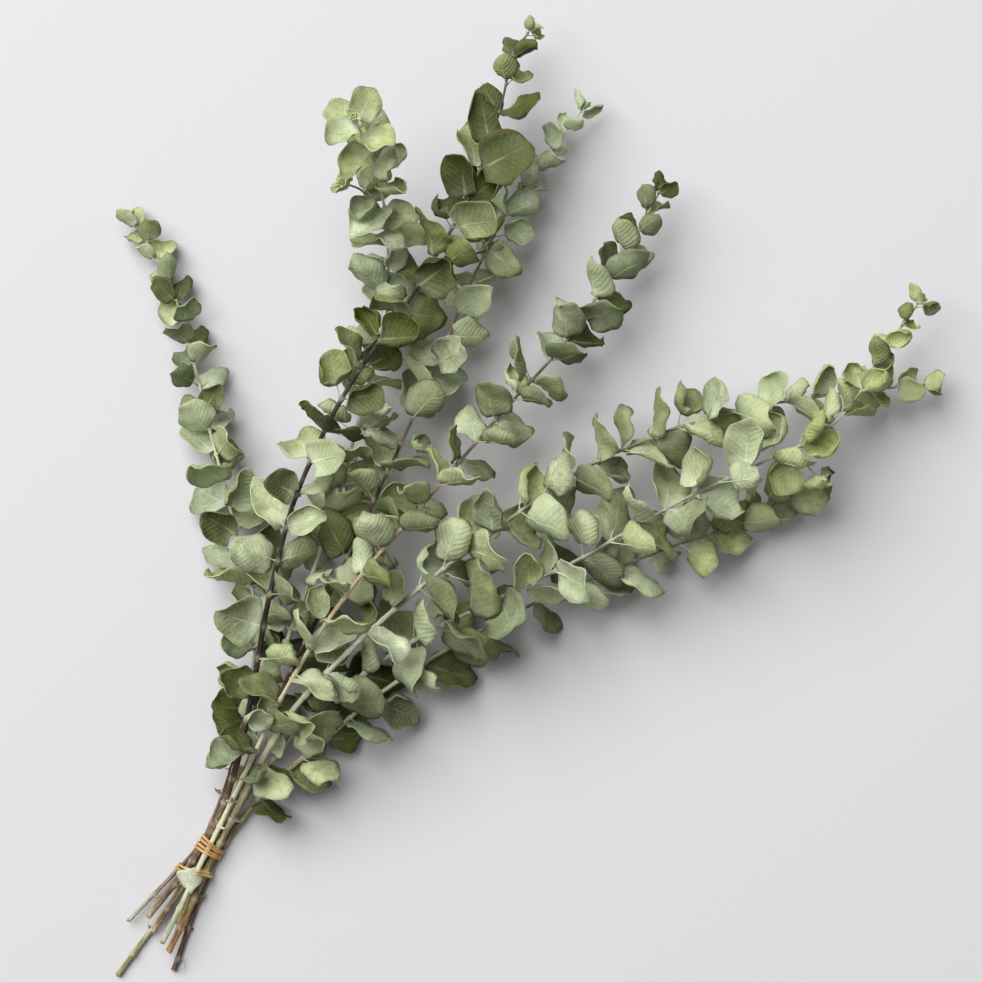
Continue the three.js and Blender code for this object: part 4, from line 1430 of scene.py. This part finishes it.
class BUNCH_OT_set_stage(Operator):
    """Lay the pale floor, light it softly from the upper left and look straight down on it"""

    bl_idname = "bunch.set_stage"
    bl_label = "Set stage"

    # In metres: how far the floor reaches, the main light's place from the framed spot, its size, and how far
    # the camera sees.
    FLOOR_SIZE = 4
    LAMP_PLACE = Vector((-2.1, 2.6, 4.2))
    LAMP_SIZE = 5.0
    SIGHT = 20

    def execute(self, context):
        settings = context.scene.bunch_stage
        self.add_floor(settings)
        self.add_light(context, settings)
        self.add_camera(context, settings)
        return {"FINISHED"}

    def add_floor(self, settings):
        mesh = bmesh.new()
        bmesh.ops.create_grid(mesh, x_segments=4, y_segments=4, size=self.FLOOR_SIZE)
        floor_plane = add_mesh("floor", mesh, [floor_finish(settings)])

    def add_light(self, context, settings):
        world = bpy.data.worlds.new("studio")
        world.use_nodes = True
        background = world.node_tree.nodes["Background"]
        background.inputs["Color"].default_value = (*settings.sky, 1)
        background.inputs["Strength"].default_value = settings.sky_strength
        context.scene.world = world
        key = bpy.data.lights.new("key", "AREA")
        key.energy = settings.key_power
        key.size = self.LAMP_SIZE
        lamp = add_object("key", key)
        target = Vector((*settings.centre, 0))
        lamp.location = target + self.LAMP_PLACE
        lamp.rotation_euler = (target - lamp.location).to_track_quat("-Z", "Y").to_euler()

    def add_camera(self, context, settings):
        camera = bpy.data.cameras.new("camera")
        camera.lens = camera.sensor_width * settings.distance / settings.width
        camera.clip_end = self.SIGHT
        stand = add_object("camera", camera)
        stand.location = (*settings.centre, settings.plane + settings.distance)
        context.scene.camera = stand
        context.scene.view_settings.view_transform = "Standard"


class BUNCH_PT_panel(Panel):
    """The pieces of the bunch, in the order in which they are made"""

    bl_idname = "BUNCH_PT_panel"
    bl_label = "Bunch of dried eucalyptus"
    bl_space_type = "VIEW_3D"
    bl_region_type = "UI"
    bl_category = "Eucalyptus"

    def draw(self, context):
        for operator in OPERATORS:
            self.layout.operator(operator.bl_idname)
        for name, settings in SETTINGS.items():
            box = self.layout.box()
            for field in settings.__annotations__:
                box.prop(getattr(context.scene, name), field)


SETTINGS = {
    "bunch_shoots": ShootSettings,
    "bunch_leaves": LeafSettings,
    "bunch_band": BandSettings,
    "bunch_stage": StageSettings,
}
OPERATORS = (
    BUNCH_OT_add_shoots,
    BUNCH_OT_add_leaves,
    BUNCH_OT_add_caught_leaf,
    BUNCH_OT_add_band,
    BUNCH_OT_set_stage,
)


def register():
    for made in (*SETTINGS.values(), *OPERATORS, BUNCH_PT_panel):
        bpy.utils.register_class(made)
    for name, settings in SETTINGS.items():
        setattr(bpy.types.Scene, name, PointerProperty(type=settings))


def unregister():
    for name in SETTINGS:
        delattr(bpy.types.Scene, name)
    for made in reversed((*SETTINGS.values(), *OPERATORS, BUNCH_PT_panel)):
        bpy.utils.unregister_class(made)


def main():
    register()
    bpy.ops.bunch.add_shoots()
    bpy.ops.bunch.add_leaves()
    bpy.ops.bunch.add_caught_leaf()
    bpy.ops.bunch.add_band()
    bpy.ops.bunch.set_stage()


if __name__ == "__main__":
    main()
